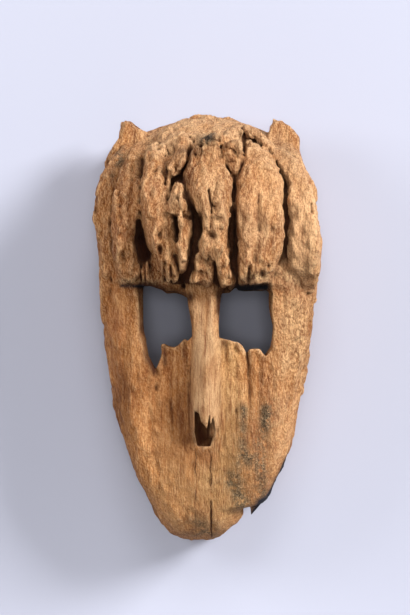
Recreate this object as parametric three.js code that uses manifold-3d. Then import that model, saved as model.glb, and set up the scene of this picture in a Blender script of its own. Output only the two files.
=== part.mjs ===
// An old wooden face mask of the Dogon kind, carved from one block and deeply worn by weather.
// It is a hood open at the back, lying on its back rim with the face up.
// A heavy brow split into upright lobes hangs over two open eye holes, and a long ridge of a nose
// runs down between them onto a flat cheek plate that ends in a narrow chin.
// Millimetres. +Z points out of the face, +Y to the crown, +X to the right as one looks at the face.
import * as THREE from "three";
import { LoftGeometry } from "three/addons/geometries/LoftGeometry.js";
import { mergeVertices } from "three/addons/utils/BufferGeometryUtils.js";
import Module from "manifold-3d";

// Driving dimensions.
const SIDE_WALL = 12;
const FACE_PLATE = 14;
const CHIN = -192;
const CROWN = 192;
const BROW_EDGE = 37.5;

// Stations of the hood from chin to crown: y, left edge, right edge, height of the front, squareness.
// Squareness is the power of the section's superellipse: 2 is an ellipse, 7 is nearly a box.
const HOOD = [
  [CHIN, -20, 1, 44, 3],
  [-188, -27, 8, 60, 3],
  [-182, -34, 15, 76, 3.5],
  [-171, -43.5, 26, 90, 4],
  [-160, -50.5, 31.5, 96, 4.5],
  [-155, -53, 48.5, 98, 5],
  [-133, -63.5, 60, 104, 6],
  [-112, -72, 70.5, 109, 7],
  [-90, -78.5, 77, 113, 7],
  [-62, -84, 82.5, 116, 7],
  [-36, -88.5, 87.5, 118, 7],
  [-10, -91, 91.5, 118, 7],
  [17, -93, 94, 118, 7],
  [38, -96, 97, 118, 6.5],
  [70, -98.5, 100, 118, 6],
  [96, -101, 99, 116, 5.5],
  [119, -99.5, 95.5, 112, 5],
  [142, -93, 89, 104, 4.5],
  [157, -86, 82, 92, 4],
  [171, -73, 70, 76, 3.5],
  [182, -52, 51, 58, 3],
  [189, -29, 31, 42, 2.8],
  [CROWN, -12, 16, 30, 2.6],
];

// The solid block of the brow in front of the hood, in the same columns.
const BROW = [
  [BROW_EDGE, -82, 80, 130, 3.6],
  [60, -87, 85, 134, 3.2],
  [90, -90, 88, 136, 3],
  [119, -88, 86, 134, 2.9],
  [142, -81, 80, 128, 2.8],
  [157, -73, 72, 118, 2.7],
  [171, -60, 60, 103, 2.6],
  [182, -44, 45, 83, 2.5],
  [190, -22, 24, 58, 2.4],
];

// Lobes of the brow, each from its hanging lower end upwards: y, left edge, right edge, rise above the block.
// Where the rise is negative the lobe has sunk into the block.
const LOBES = {
  outerLeft: [
    [8, -93, -83, -2], [40, -95.5, -82, 3], [66, -99, -81.5, 6], [94, -102, -80.5, 8], [123, -98, -77, 8],
    [152, -85, -68, 5], [170, -72, -60, -2],
  ],
  left: [
    [39, -77, -60.5, 16], [51, -81, -59, 20], [65, -82, -62, 22], [84, -82, -62, 24], [96, -81.5, -57.5, 24],
    [114, -79.5, -54.5, 22], [138, -76, -53, 12], [150, -72.5, -54, 7], [166, -66, -58, -2],
  ],
  second: [
    [42, -40, -27, 19], [53, -43, -24, 23], [65, -45, -25, 25], [77, -52.5, -27.5, 25], [90, -56, -28, 25],
    [102, -58.5, -29, 25], [114, -57.5, -31.5, 24], [126, -55, -32, 20], [138, -53, -33, 14], [152, -52, -33, 7],
    [167, -48, -36, -2],
  ],
  short: [
    [126.5, -31, -25, 18], [132, -33, -24, 20], [138, -34, -21, 19], [148, -33.5, -16, 14], [156, -31, -13, 9],
    [172, -24, -12, -2],
  ],
  splinter: [
    [51, -22, -19, 20], [60, -23.5, -16.5, 23], [71, -25.5, -15.5, 25], [84, -25, -15, 26], [95, -25.5, -16, 26],
    [101, -35.5, -16.5, 26], [105, -36, -16.5, 26], [114, -33, -17.5, 25], [122, -30, -20, 23], [127, -28, -25, 19],
  ],
  leaf: [[76, -17.5, -15, 18], [85, -18.5, -14, 22], [95, -18, -14.5, 20]],
  centre: [
    [56, -11.5, 19, 26], [64, -11, 19.5, 29], [73, -10.5, 19, 30], [84, -8, 19, 30], [94, -8.5, 19.5, 30],
    [102, -11.5, 20, 30], [114, -18, 21, 29], [128, -20, 22, 25], [138, -20, 19, 18], [150, -16, 15, 11],
    [172, -10, 10, -2],
  ],
  fork: [[38.5, -14, 4, 21], [47, -13, 3, 25], [60, -12, 3, 27], [72, -10, 3, 29]],
  finger: [[35.5, 8, 19.5, 18], [47, 5.5, 20.5, 25], [58, 4.5, 19.5, 28], [70, 4, 19, 30]],
  knob: [
    [131, 19.5, 26, 10], [138, 16.5, 29.5, 14], [148, 13.5, 31, 16], [159, 13.5, 32, 12], [168, 12, 31, 8],
    [182, 14, 28, -2],
  ],
  right: [
    [40, 26.5, 50, 21], [58, 24.5, 57, 27], [70, 24, 62, 28], [82, 23, 63.5, 28], [102, 23, 64, 28],
    [114, 23, 64, 25], [133, 24, 60.5, 18], [145, 29, 57, 11], [155, 30, 51, 7], [170, 33, 42, -2],
  ],
  crest: [[148, 52, 62, 8], [155, 51, 60, 8], [163, 45.5, 56, 8], [169, 37, 49.5, 7], [176, 26, 38, 5], [183, 16, 28, -2]],
  rightBand: [
    [36, 67, 92, -2], [47, 67, 94, 10], [58, 66.5, 95.5, 17], [71, 68, 97, 20], [84, 69, 97, 21], [102, 69, 94.5, 21],
    [114, 68, 91.5, 20], [129, 67, 86.5, 18], [138, 62.5, 81.5, 14], [150, 55.5, 75, 9], [164, 50, 62, -2],
  ],
  rightShoulder: [[104, 86, 95, -2], [120, 82, 94, 6], [140, 74, 87, 8], [155, 66, 80, 8], [178, 48, 64, -2]],
};

const LOBE_SIDES = 12;
const LOBE_SQUARENESS = 0.6;

// The nose from its broken end up into the brow: y, left foot, right foot, crest x, crest height.
const NOSE = [
  [-104, -14, 4, -4, 118],
  [-96, -15, 5.5, -3, 125],
  [-82, -15.5, 8, -2, 131],
  [-40, -15.5, 9, -1.5, 134],
  [0, -14, 8.5, 1, 133],
  [25, -15.5, 9, 1, 134],
  [60, -16, 8, 0, 142],
];
const NOSE_BASE = 106;

// What is broken away at the end of the nose, seen from the front, and how deep the rotten core goes.
const NOSE_ROT = [[-12, -102], [3, -102], [4.5, -84], [2.5, -72], [-0.5, -82], [-3, -85], [-7, -83], [-11, -70]];
const NOSE_ROT_FLOOR = 110;

// The eye holes seen from the front, anticlockwise. Their lower edges are broken into points.
const LEFT_EYE = [
  [-16, 30], [-29, 32.5], [-42, 37], [-53.5, 37], [-54.5, 15], [-51, -20], [-44, -35],
  [-39.5, -13.5], [-31, -17], [-21, -8], [-18.5, -11], [-16, -7], [-14, 4],
];
const RIGHT_EYE = [
  [9.7, 28], [9, -1], [11, -7], [22, -7], [27.5, -11.5], [33.5, -22], [37, -17.5], [42.5, -17.5],
  [46, -24], [50, -22], [53, -14], [53.5, 0], [51, 35], [24.5, 37], [14, 33.5],
];
const EYE_INNER = 98;
const EYE_OUTER = 125;

// How much wider than at the back each opening is at the front, left and right of its middle.
const LEFT_EYE_FLARE = [1.38, 1.02];
const RIGHT_EYE_FLARE = [1.03, 1.2];

// Shallow hollows of the cheek plate beside the nose: x, y, half width, half length, depth.
const CHEEKS = [
  [-34, -44, 22, 78, 4.5],
  [33, -46, 22, 74, 4],
];

// Open grooves of the plate: the two splits below the nose, the crease of the right cheek and the furrow
// of the left. Each has its path from the front, its width and its depth.
const GROOVES = [
  { path: [[-10.6, -106], [-10, -140], [-11, -180]], width: 1.6, depth: 3 },
  { path: [[2.4, -149], [3.2, -182]], width: 3, depth: 6 },
  { path: [[36.5, -20], [35, -40], [33, -68]], width: 5, depth: 4.5 },
  { path: [[-44, -32], [-45.5, -58], [-43, -80]], width: 4, depth: 3 },
];

// Stumps of the two broken ears at the back of the crown: y, left edge, right edge.
const LEFT_EAR = [[150, -88, -48], [169, -86, -50], [175, -84, -57], [179, -83, -65], [187.5, -81.5, -71]];
const RIGHT_EAR = [[150, 46, 84], [169, 50, 83], [178, 54, 79], [184, 56, 74], [187.5, 58.5, 69]];
const EAR_BACK = 28;
const EAR_FRONT = 74;

// A long splinter of the side wall beside the chip at the lower right, seen from the front.
const SPLINTER = [[38.5, -167.5], [50, -154], [45, -148], [37.5, -155]];
const SPLINTER_BACK = 10;
const SPLINTER_FRONT = 64;

const wasm = await Module();
wasm.setup();

// The row at a place in a table whose first column is the place. Between rows each column is a cubic,
// and its slope at a row is that of the chord between the row's two neighbours.
function rowAt(table, place) {
  const last = table.length - 1;
  const i = Math.max(0, Math.min(last, table.findIndex((row) => row[0] > place)) - 1);
  const index = place >= table[last][0] ? last - 1 : i;
  const [before, start, end, after] = [-1, 0, 1, 2].map((k) => table[THREE.MathUtils.clamp(index + k, 0, last)]);
  const span = end[0] - start[0];
  const t = THREE.MathUtils.clamp((place - start[0]) / span, 0, 1);
  return start.map((value, column) => {
    const slopeIn = ((end[column] - before[column]) / (end[0] - before[0])) * span;
    const slopeOut = ((after[column] - value) / (after[0] - start[0])) * span;
    return (
      value * (2 * t ** 3 - 3 * t ** 2 + 1) +
      slopeIn * (t ** 3 - 2 * t ** 2 + t) +
      end[column] * (3 * t ** 2 - 2 * t ** 3) +
      slopeOut * (t ** 3 - t ** 2)
    );
  });
}

// Places from one end of a range to the other, closer together at both ends.
function places(low, high, count) {
  return Array.from({ length: count + 1 }, (_, i) => {
    return (low + high) / 2 - ((high - low) / 2) * Math.cos((Math.PI * i) / count);
  });
}

const power = (value, exponent) => Math.sign(value) * Math.abs(value) ** exponent;

// A section of the hood across the face: an arch from the left rim over the front to the right rim,
// standing on a flat base.
function arch([y, left, right, front, squareness], base, count) {
  const ring = Array.from({ length: count + 1 }, (_, i) => {
    const angle = (Math.PI * i) / count;
    const across = power(Math.cos(angle), 2 / squareness);
    const up = power(Math.sin(angle), 2 / squareness);
    return new THREE.Vector3((left + right) / 2 - ((right - left) / 2) * across, y, front * Math.max(0, up));
  });
  if (base < 0) ring.push(new THREE.Vector3(right, y, base), new THREE.Vector3(left, y, base));
  return ring;
}

// Height of the arch's front over a point of the face, or 0 outside it.
function archHeight(table, x, y) {
  const [, left, right, front, squareness] = rowAt(table, y);
  const across = Math.abs(x - (left + right) / 2) / ((right - left) / 2);
  return across < 1 ? front * (1 - across ** squareness) ** (1 / squareness) : 0;
}

// Front of the plain form, which the lobes ride on.
const plainFront = (x, y) => Math.max(archHeight(HOOD, x, y), archHeight(BROW, x, y));

// A geometry as a solid that can be joined and cut.
function solid(geometry) {
  const bare = new THREE.BufferGeometry().setAttribute("position", geometry.getAttribute("position"));
  bare.setIndex(geometry.index);
  const merged = mergeVertices(bare, 1e-3);
  const corners = merged.index.array;
  const triVerts = [];
  for (let i = 0; i < corners.length; i += 3) {
    const [a, b, c] = corners.slice(i, i + 3);
    if (a !== b && b !== c && c !== a) triVerts.push(a, b, c);
  }
  const vertProperties = merged.attributes.position.array;
  const mesh = new wasm.Mesh({ numProp: 3, vertProperties, triVerts: new Uint32Array(triVerts) });
  return new wasm.Manifold(mesh);
}

const loft = (sections) => solid(new LoftGeometry(sections, { capStart: true, capEnd: true }));

// A flat outline seen from the front, carried from one height to another and widened on the way,
// by one share left of its middle and by another right of it.
function prism(outline, low, high, flare = [1, 1]) {
  const middle = outline.reduce((sum, [x]) => sum + x, 0) / outline.length;
  const section = (z, [left, right]) => {
    return outline.map(([x, y]) => new THREE.Vector3(middle + (x - middle) * (x < middle ? left : right), y, z));
  };
  return loft([section(low, [1, 1]), section(high, flare)]);
}

function hood() {
  return loft(places(CHIN, CROWN, 34).map((y) => arch(rowAt(HOOD, y), 0, 20)));
}

function browBlock() {
  const top = BROW[BROW.length - 1][0];
  return loft(places(BROW_EDGE, top, 10).map((y) => arch(rowAt(BROW, y), 0, 16)));
}

// The hollow follows the hood one wall inside it, and goes out through the open back.
function hollow() {
  const shrink = (CROWN - SIDE_WALL) / CROWN;
  const reach = 176;
  const sections = places(-reach, reach, 18).map((y) => {
    const [, left, right, front, squareness] = rowAt(HOOD, y);
    const row = [y * shrink, left + SIDE_WALL, right - SIDE_WALL, front - FACE_PLATE, squareness * 0.8];
    return arch(row, -5, 14);
  });
  return loft(sections);
}

// A lobe is a tube of squarish section carried along its middle line, whose crest rides at the
// stated rise over the plain front. Its ends are drawn in a little, so that they look worn and blunt.
function lobe(table) {
  const [low, high] = [table[0][0], table[table.length - 1][0]];
  const steps = Math.max(4, Math.round((high - low) / 11));
  const depthOf = (rise) => 6 + rise * 0.6;
  const middle = (y) => {
    const [, left, right, rise] = rowAt(table, y);
    const x = (left + right) / 2;
    return new THREE.Vector3(x, y, plainFront(x, y) + rise - depthOf(rise));
  };
  const sections = places(low, high, steps).map((y, i) => {
    const [, left, right, rise] = rowAt(table, y);
    const halfWidth = (right - left) / 2;
    const end = i === 0 ? 0.8 : i === steps ? 0.6 : 1;
    const near = Math.max(low, y - 3);
    const up = middle(Math.min(high, near + 6)).sub(middle(near)).normalize();
    const side = new THREE.Vector3(1, 0, 0).addScaledVector(up, -up.x).normalize();
    const out = side.clone().cross(up);
    return Array.from({ length: LOBE_SIDES }, (_, k) => {
      const angle = (2 * Math.PI * k) / LOBE_SIDES;
      return middle(y)
        .addScaledVector(side, -halfWidth * end * power(Math.cos(angle), LOBE_SQUARENESS))
        .addScaledVector(out, depthOf(rise) * end * power(Math.sin(angle), LOBE_SQUARENESS));
    });
  });
  return loft(sections);
}

// The nose has a broad left facet, a sharp crest and a narrow right facet.
function nose() {
  const sections = places(NOSE[0][0], NOSE[NOSE.length - 1][0], 12).map((y) => {
    const [, left, right, crest, height] = rowAt(NOSE, y);
    const profile = [
      [left, NOSE_BASE],
      [left, height - 11],
      [left + 4, height - 4],
      [crest, height],
      [crest + 4, height - 1.5],
      [right, height - 10],
      [right, NOSE_BASE],
    ];
    return profile.map(([x, z]) => new THREE.Vector3(x, y, z));
  });
  return loft(sections);
}

function ear(table) {
  const [low, high] = [table[0][0], table[table.length - 1][0]];
  const sections = places(low, high, 5).map((y) => {
    const [, left, right] = rowAt(table, y);
    const lean = (y - low) * 0.25;
    const bevel = (right - left) * 0.15;
    return [
      new THREE.Vector3(left, y, EAR_BACK + lean),
      new THREE.Vector3(left + bevel, y, EAR_FRONT - lean),
      new THREE.Vector3(right - bevel, y, EAR_FRONT - lean),
      new THREE.Vector3(right, y, EAR_BACK + lean),
    ];
  });
  return loft(sections);
}

// A shallow dish: the cap of an ellipsoid that dips below the plate by the stated depth.
function cheek([x, y, halfWidth, halfLength, depth]) {
  const swell = 2.5;
  const bowl = new THREE.SphereGeometry(1, 14, 10).scale(halfWidth * 1.25, halfLength * 1.25, depth * swell);
  const plate = archHeight(HOOD, x, y);
  return solid(bowl.translate(x, y, plate + depth * (swell - 1)));
}

// A groove of V section along its path, whose lips lie a little above the front.
function groove({ path, width, depth }) {
  const line = new THREE.CatmullRomCurve3(path.map(([x, y]) => new THREE.Vector3(x, y, 0)));
  const lip = 1.5;
  const sections = line.getPoints(6).reverse().map(({ x, y }) => {
    const top = archHeight(HOOD, x, y) + lip;
    const half = (width / 2) * (1 + lip / depth);
    return [
      new THREE.Vector3(x - half, y, top),
      new THREE.Vector3(x + half, y, top),
      new THREE.Vector3(x, y, top - lip - depth),
    ];
  });
  return loft(sections);
}

const carved = wasm.Manifold.union([
  hood(),
  browBlock(),
  prism(SPLINTER, SPLINTER_BACK, SPLINTER_FRONT),
  ear(LEFT_EAR),
  ear(RIGHT_EAR),
])
  .subtract(wasm.Manifold.union(CHEEKS.map(cheek)))
  .add(wasm.Manifold.union([nose(), ...Object.values(LOBES).map(lobe)]))
  .subtract(prism(NOSE_ROT, NOSE_ROT_FLOOR, 150))
  .subtract(wasm.Manifold.union(GROOVES.map(groove)))
  .subtract(prism(LEFT_EYE, EYE_INNER, EYE_OUTER, LEFT_EYE_FLARE))
  .subtract(prism(RIGHT_EYE, EYE_INNER, EYE_OUTER, RIGHT_EYE_FLARE))
  .subtract(hollow())
  .setTolerance(0.01);

const { vertProperties, triVerts } = carved.getMesh();
const geometry = new THREE.BufferGeometry();
geometry.setAttribute("position", new THREE.BufferAttribute(vertProperties, 3));
geometry.setIndex(new THREE.BufferAttribute(triVerts, 1));

// The origin is the middle of the box at the level of the rim.
geometry.computeBoundingBox();
const { min, max } = geometry.boundingBox;
geometry.translate(-(min.x + max.x) / 2, -(min.y + max.y) / 2, -min.z);
geometry.computeVertexNormals();

const weatheredWood = new THREE.MeshStandardMaterial({ color: 0xb98a5e, roughness: 0.9, metalness: 0 });
const mask = new THREE.Mesh(geometry, weatheredWood);
mask.name = "mask";

const group = new THREE.Group();
group.add(mask);

export default group;
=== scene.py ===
"""A weathered wooden face mask with a grooved brow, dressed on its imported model.

The mask is one block of old wood. Its forms (hood, brow, lobes, nose, ears) are profiles carried
along the height of the face, as in the solid that it replaces. Rot has eaten splits, pits and
undercuts into them that no surface of two parameters can follow, so the profiles are laid on a
lattice as one field of distances, and the skin is drawn where the distance is nought.
Lengths are millimetres until the mesh is made: +Z out of the face, +Y to the crown.
"""

import logging
from dataclasses import dataclass, field
from enum import Enum
from functools import reduce

import bpy
import numpy as np
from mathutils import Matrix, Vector
from numpy.typing import NDArray


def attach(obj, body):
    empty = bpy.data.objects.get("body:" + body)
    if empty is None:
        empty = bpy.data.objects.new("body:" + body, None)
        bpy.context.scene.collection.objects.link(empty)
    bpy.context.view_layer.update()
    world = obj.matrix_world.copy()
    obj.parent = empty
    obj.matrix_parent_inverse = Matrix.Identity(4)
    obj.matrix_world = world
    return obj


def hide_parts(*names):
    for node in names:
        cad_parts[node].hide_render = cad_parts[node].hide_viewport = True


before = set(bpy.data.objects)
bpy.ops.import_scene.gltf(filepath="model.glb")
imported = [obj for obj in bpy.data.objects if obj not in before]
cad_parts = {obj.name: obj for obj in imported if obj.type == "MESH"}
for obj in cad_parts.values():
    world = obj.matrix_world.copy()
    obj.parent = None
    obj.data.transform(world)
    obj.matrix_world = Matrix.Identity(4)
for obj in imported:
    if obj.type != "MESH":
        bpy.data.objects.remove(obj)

Array = NDArray[np.float32]
Row = tuple[float, ...]
Point = tuple[float, float]
Colour = tuple[int, int, int]

LOG = logging.getLogger("mask")
MM = 0.001
LEAST_ROOT = 0.001
LEAST_SLOPE = 0.001
WHITE = (255, 255, 255)


def stations(rows: tuple[Row, ...], at: Array) -> Array:
    """Reads a table of rows at many places.

    The first column is the place. Between two rows each column is a cubic in the place, whose slope
    at a row is that of the chord between the row's two neighbours.

    Args:
        rows: The table, with its places rising.
        at: The places to read, held to the table's ends.

    Returns:
        One array for each column, stacked.
    """
    table = np.asarray(rows, dtype=float)
    place = table[:, 0]
    before, after = np.vstack([table[:1], table[:-1]]), np.vstack([table[1:], table[-1:]])
    slope = (after - before) / (after[:, :1] - before[:, :1])
    spot = np.clip(at, place[0], place[-1])
    i = np.clip(np.searchsorted(place, spot, side="right") - 1, 0, len(table) - 2)
    span = (place[i + 1] - place[i])[:, None]
    t = ((spot - place[i])[:, None]) / span
    value = (
        table[i] * (2 * t**3 - 3 * t**2 + 1)
        + slope[i] * span * (t**3 - 2 * t**2 + t)
        + table[i + 1] * (3 * t**2 - 2 * t**3)
        + slope[i + 1] * span * (t**3 - t**2)
    )
    return value.T.astype(np.float32)


def smooth_step(value: Array, low: float, high: float) -> Array:
    """Rises from 0 at low to 1 at high with flat ends, or falls where low is over high: 3 t^2 - 2 t^3."""
    t = np.clip((value - low) / (high - low), 0, 1)
    return t * t * (3 - 2 * t)


def join(a: Array, b: Array, blend: float) -> Array:
    """Field of two joined forms: the smaller distance, rounded where they differ by less than blend."""
    share = np.clip(0.5 + 0.5 * (b - a) / blend, 0, 1)
    return b + (a - b) * share - blend * share * (1 - share)


def cut(a: Array, b: Array, blend: float) -> Array:
    """Field of form a with form b taken out of it, rounded over blend."""
    return -join(-a, b, blend)


def clip(a: Array, b: Array, blend: float) -> Array:
    """Field of what lies in both forms, rounded over blend."""
    return -join(-a, -b, blend)


def segment_distance(x: Array, y: Array, start: Point, end: Point) -> Array:
    """Distance in the plane from many points to one segment: to its nearest point, held to its ends.

    Args:
        x: Places across the face.
        y: Places along the face.
        start: One end of the segment.
        end: Its other end.

    Returns:
        The distance, never negative.
    """
    along = np.array(end, dtype=np.float32) - np.array(start, dtype=np.float32)
    t = np.clip(((x - start[0]) * along[0] + (y - start[1]) * along[1]) / (along @ along), 0, 1)
    return np.hypot(x - start[0] - t * along[0], y - start[1] - t * along[1])


def outline_distance(x: Array, y: Array, outline: tuple[Point, ...]) -> Array:
    """Signed distance in the plane to a closed outline.

    The distance is that to the nearest side. It is negative where a ray to the right crosses the
    outline an odd number of times.

    Args:
        x: Places across the face.
        y: Places along the face.
        outline: The corners in order.

    Returns:
        The distance over the whole plane, negative inside.
    """
    nearest = np.full(np.broadcast_shapes(x.shape, y.shape), np.inf, dtype=np.float32)
    inside = np.zeros(nearest.shape, dtype=bool)
    for (ax, ay), (bx, by) in zip(outline, outline[1:] + outline[:1]):
        nearest = np.minimum(nearest, segment_distance(x, y, (ax, ay), (bx, by)))
        if ay != by:
            crossing = ax + (y - ay) * (bx - ax) / (by - ay)
            inside ^= ((ay > y) != (by > y)) & (x < crossing)
    return np.where(inside, -nearest, nearest)


@dataclass(frozen=True)
class Lattice:
    """The block of space that the wood is worked out in, as evenly spaced points."""

    low: Row = (-107.0, -197.0, -3.0)
    high: Row = (107.0, 197.0, 172.0)
    step: Row = (1.0, 1.4, 1.15)

    @property
    def shape(self) -> tuple[int, int, int]:
        """Number of points along each axis."""
        return tuple(int(round((b - a) / s)) + 1 for a, b, s in zip(self.low, self.high, self.step))

    def axis(self, k: int) -> Array:
        """Places of the points along one axis, shaped to spread over the other two."""
        line = self.low[k] + self.step[k] * np.arange(self.shape[k], dtype=np.float32)
        return line.reshape([-1 if j == k else 1 for j in range(3)])

    def window(self, low: Row, high: Row) -> tuple[slice, slice, slice]:
        """Part of the lattice that covers a box.

        Args:
            low: The box's low corner.
            high: Its high corner.

        Returns:
            One slice for each axis.
        """
        first = [max(0, int((a - o) / s)) for a, o, s in zip(low, self.low, self.step)]
        last = [min(n, int((b - o) / s) + 2) for b, o, s, n in zip(high, self.low, self.step, self.shape)]
        return tuple(slice(a, b) for a, b in zip(first, last))

    def sample(self, values: Array, points: Array) -> Array:
        """Reads a lattice of values at loose points, by straight lines along each axis in turn.

        Args:
            values: A value for each lattice point.
            points: Loose points, three numbers a row.

        Returns:
            The value at each loose point.
        """
        place = (points - np.array(self.low)) / np.array(self.step)
        base = np.clip(np.floor(place).astype(int), 0, np.array(self.shape) - 2)
        part = place - base
        total = np.zeros(len(points), dtype=np.float32)
        for corner in np.ndindex(2, 2, 2):
            weight = np.prod(np.where(corner, part, 1 - part), axis=1)
            total += weight * values[tuple((base + np.array(corner)).T)]
        return total


@dataclass(frozen=True)
class Grain:
    """A random field that changes over cells of a set size, such as long thin cells for fibres."""

    seed: int
    cell: Row

    @staticmethod
    def weights(line: Array, cell: float) -> Array:
        """Cubic B-spline weights that carry random numbers at cell corners to the places on a line.

        Args:
            line: The places.
            cell: Distance between the corners.

        Returns:
            One row for each place and one column for each corner.
        """
        place = (line - line[0]) / cell
        base = np.floor(place).astype(int)
        t = place - base
        parts = [(1 - t) ** 3, 3 * t**3 - 6 * t**2 + 4, -3 * t**3 + 3 * t**2 + 3 * t + 1, t**3]
        matrix = np.zeros((len(line), base.max() + 4), dtype=np.float32)
        for k, part in enumerate(parts):
            matrix[np.arange(len(line)), base + k] = part / 6
        return matrix / np.sqrt((matrix**2).sum(axis=1).mean())

    def on(self, lattice: Lattice) -> Array:
        """Values over the lattice with a spread of about 1: random corners, blended along each axis.

        Args:
            lattice: The lattice.

        Returns:
            A value for each lattice point.
        """
        across, along, up = (self.weights(lattice.axis(k).ravel(), self.cell[k]) for k in range(3))
        corners = np.random.default_rng(self.seed).normal(size=[m.shape[1] for m in (across, along, up)])
        values = np.tensordot(across, corners.astype(np.float32), axes=(1, 0))
        values = np.matmul(along, values)
        return np.matmul(values, up.T)


def arch(x: Array, z: Array, row: Array) -> Array:
    """Distance to an arch that stands on its flat side.

    The arch is (|x - middle| / half)^n + (z / front)^n = 1. What that sum's n-th root is over 1, divided
    by its slope, is close to the distance. On the middle line behind the arch the slope is nought, so it
    is held over the least slope there.

    Args:
        x: Places across the face.
        z: Places out of the face.
        row: Left edge, right edge, front and power n, each shaped to spread over x and z.

    Returns:
        The distance, negative inside.
    """
    left, right, front, power = row
    half = (right - left) / 2
    u = np.abs(x - (left + right) / 2) / half
    w = np.maximum(z, 0) / front
    root = np.maximum((u**power + w**power) ** (1 / power), LEAST_ROOT)
    slope = np.hypot((u / root) ** (power - 1) / half, (w / root) ** (power - 1) / front)
    return (root - 1) / np.maximum(slope, LEAST_SLOPE)


@dataclass(frozen=True)
class Hood:
    """The long shell of the mask, open at the back, with its hollow."""

    rows: tuple[Row, ...] = (
        (-192, -26, 7, 46, 3), (-188, -31.5, 13, 62, 3), (-182, -37, 19.5, 77, 3.5), (-171, -45, 29, 90, 4),
        (-160, -50.5, 33, 96, 4.5), (-155, -53, 50.5, 98, 5), (-133, -63.5, 63, 104, 6),
        (-112, -72, 72, 109, 7), (-90, -78.5, 77, 113, 7), (-62, -84, 82.5, 116, 7),
        (-36, -88.5, 87.5, 118, 7), (-10, -91, 91.5, 118, 7), (17, -93, 94, 118, 7), (38, -96, 97, 118, 6.5),
        (70, -98.5, 100, 118, 6), (96, -101, 99, 116, 5.5), (119, -99.5, 95.5, 112, 5),
        (142, -93, 89, 104, 4.5), (157, -86, 82, 92, 4), (171, -73, 70, 76, 3.5), (182, -52, 51, 58, 3),
        (189, -29, 31, 42, 2.8), (192, -12, 16, 30, 2.6),
    )
    side_wall: float = 12.0
    face_plate: float = 14.0
    hollow_reach: float = 176.0
    end_round: float = 3.0
    hollow_round: float = 8.0
    hollow_power: float = 0.8
    least_hollow: float = 4.0
    splinter: tuple[Point, ...] = ((38.5, -167.5), (50, -154), (45, -148), (37.5, -155))
    splinter_depth: Point = (10.0, 64.0)
    splinter_taper: float = 0.07

    @property
    def reach(self) -> float:
        """Distance from the middle to the crown and to the chin."""
        return self.rows[-1][0]

    def outside(self, x: Array, y: Array, z: Array) -> Array:
        """Distance to the outer form, which ends at the chin and at the crown."""
        row = stations(self.rows, y.ravel())[1:, None, :, None]
        return clip(arch(x, z, row), np.abs(y) - self.reach, self.end_round)

    def hollow(self, x: Array, y: Array, z: Array) -> Array:
        """Distance to the hollow: the outer form one wall smaller, out through the open back.

        Args:
            x: Places across the face.
            y: Places along the face.
            z: Places out of the face.

        Returns:
            The distance, negative in the hollow.
        """
        shrink = (self.reach - self.side_wall) / self.reach
        left, right, front, power = stations(self.rows, y.ravel() / shrink)[1:, None, :, None]
        start = left + self.side_wall
        end = np.maximum(right - self.side_wall, start + self.least_hollow)
        row = np.stack([start, end, front - self.face_plate, self.hollow_power * power])
        return clip(arch(x, z, row), np.abs(y) - self.hollow_reach * shrink, self.hollow_round)

    def spike(self, x: Array, y: Array, z: Array) -> Array:
        """Distance to the splinter that stands out of the side wall beside the chip, thinner at the back.

        Args:
            x: Places across the face.
            y: Places along the face.
            z: Places out of the face.

        Returns:
            The distance, negative inside.
        """
        low, high = self.splinter_depth
        side = outline_distance(x, y, self.splinter) + self.splinter_taper * (high - z)
        return np.maximum(side, np.maximum(low - z, z - high))

    def height(self, x: Array, y: Array) -> Array:
        """Height of the plain front over points of the face."""
        return front_height(self.rows, x, y)


def front_height(rows: tuple[Row, ...], x: Array, y: Array) -> Array:
    """Height of an arch's front over points of the face: front (1 - (|x - middle| / half)^n)^(1/n).

    Args:
        rows: Rows of height on the face, left edge, right edge, front and power n.
        x: Places across the face.
        y: Places along the face.

    Returns:
        The height at each place.
    """
    _, left, right, front, power = stations(rows, y)
    across = np.minimum(np.abs(x - (left + right) / 2) / ((right - left) / 2), 1)
    return (front * (1 - across**power) ** (1 / power)).astype(np.float32)


@dataclass(frozen=True)
class Lobe:
    """One lobe of the brow.

    Its rows give the height on the face, the two edges and the rise over the block. Ragged is how far its
    ends wander, and a crisp lobe has squarer sides and sharper ends.
    """

    rows: tuple[Row, ...]
    ragged: float = 3.0
    crisp: bool = False


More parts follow.
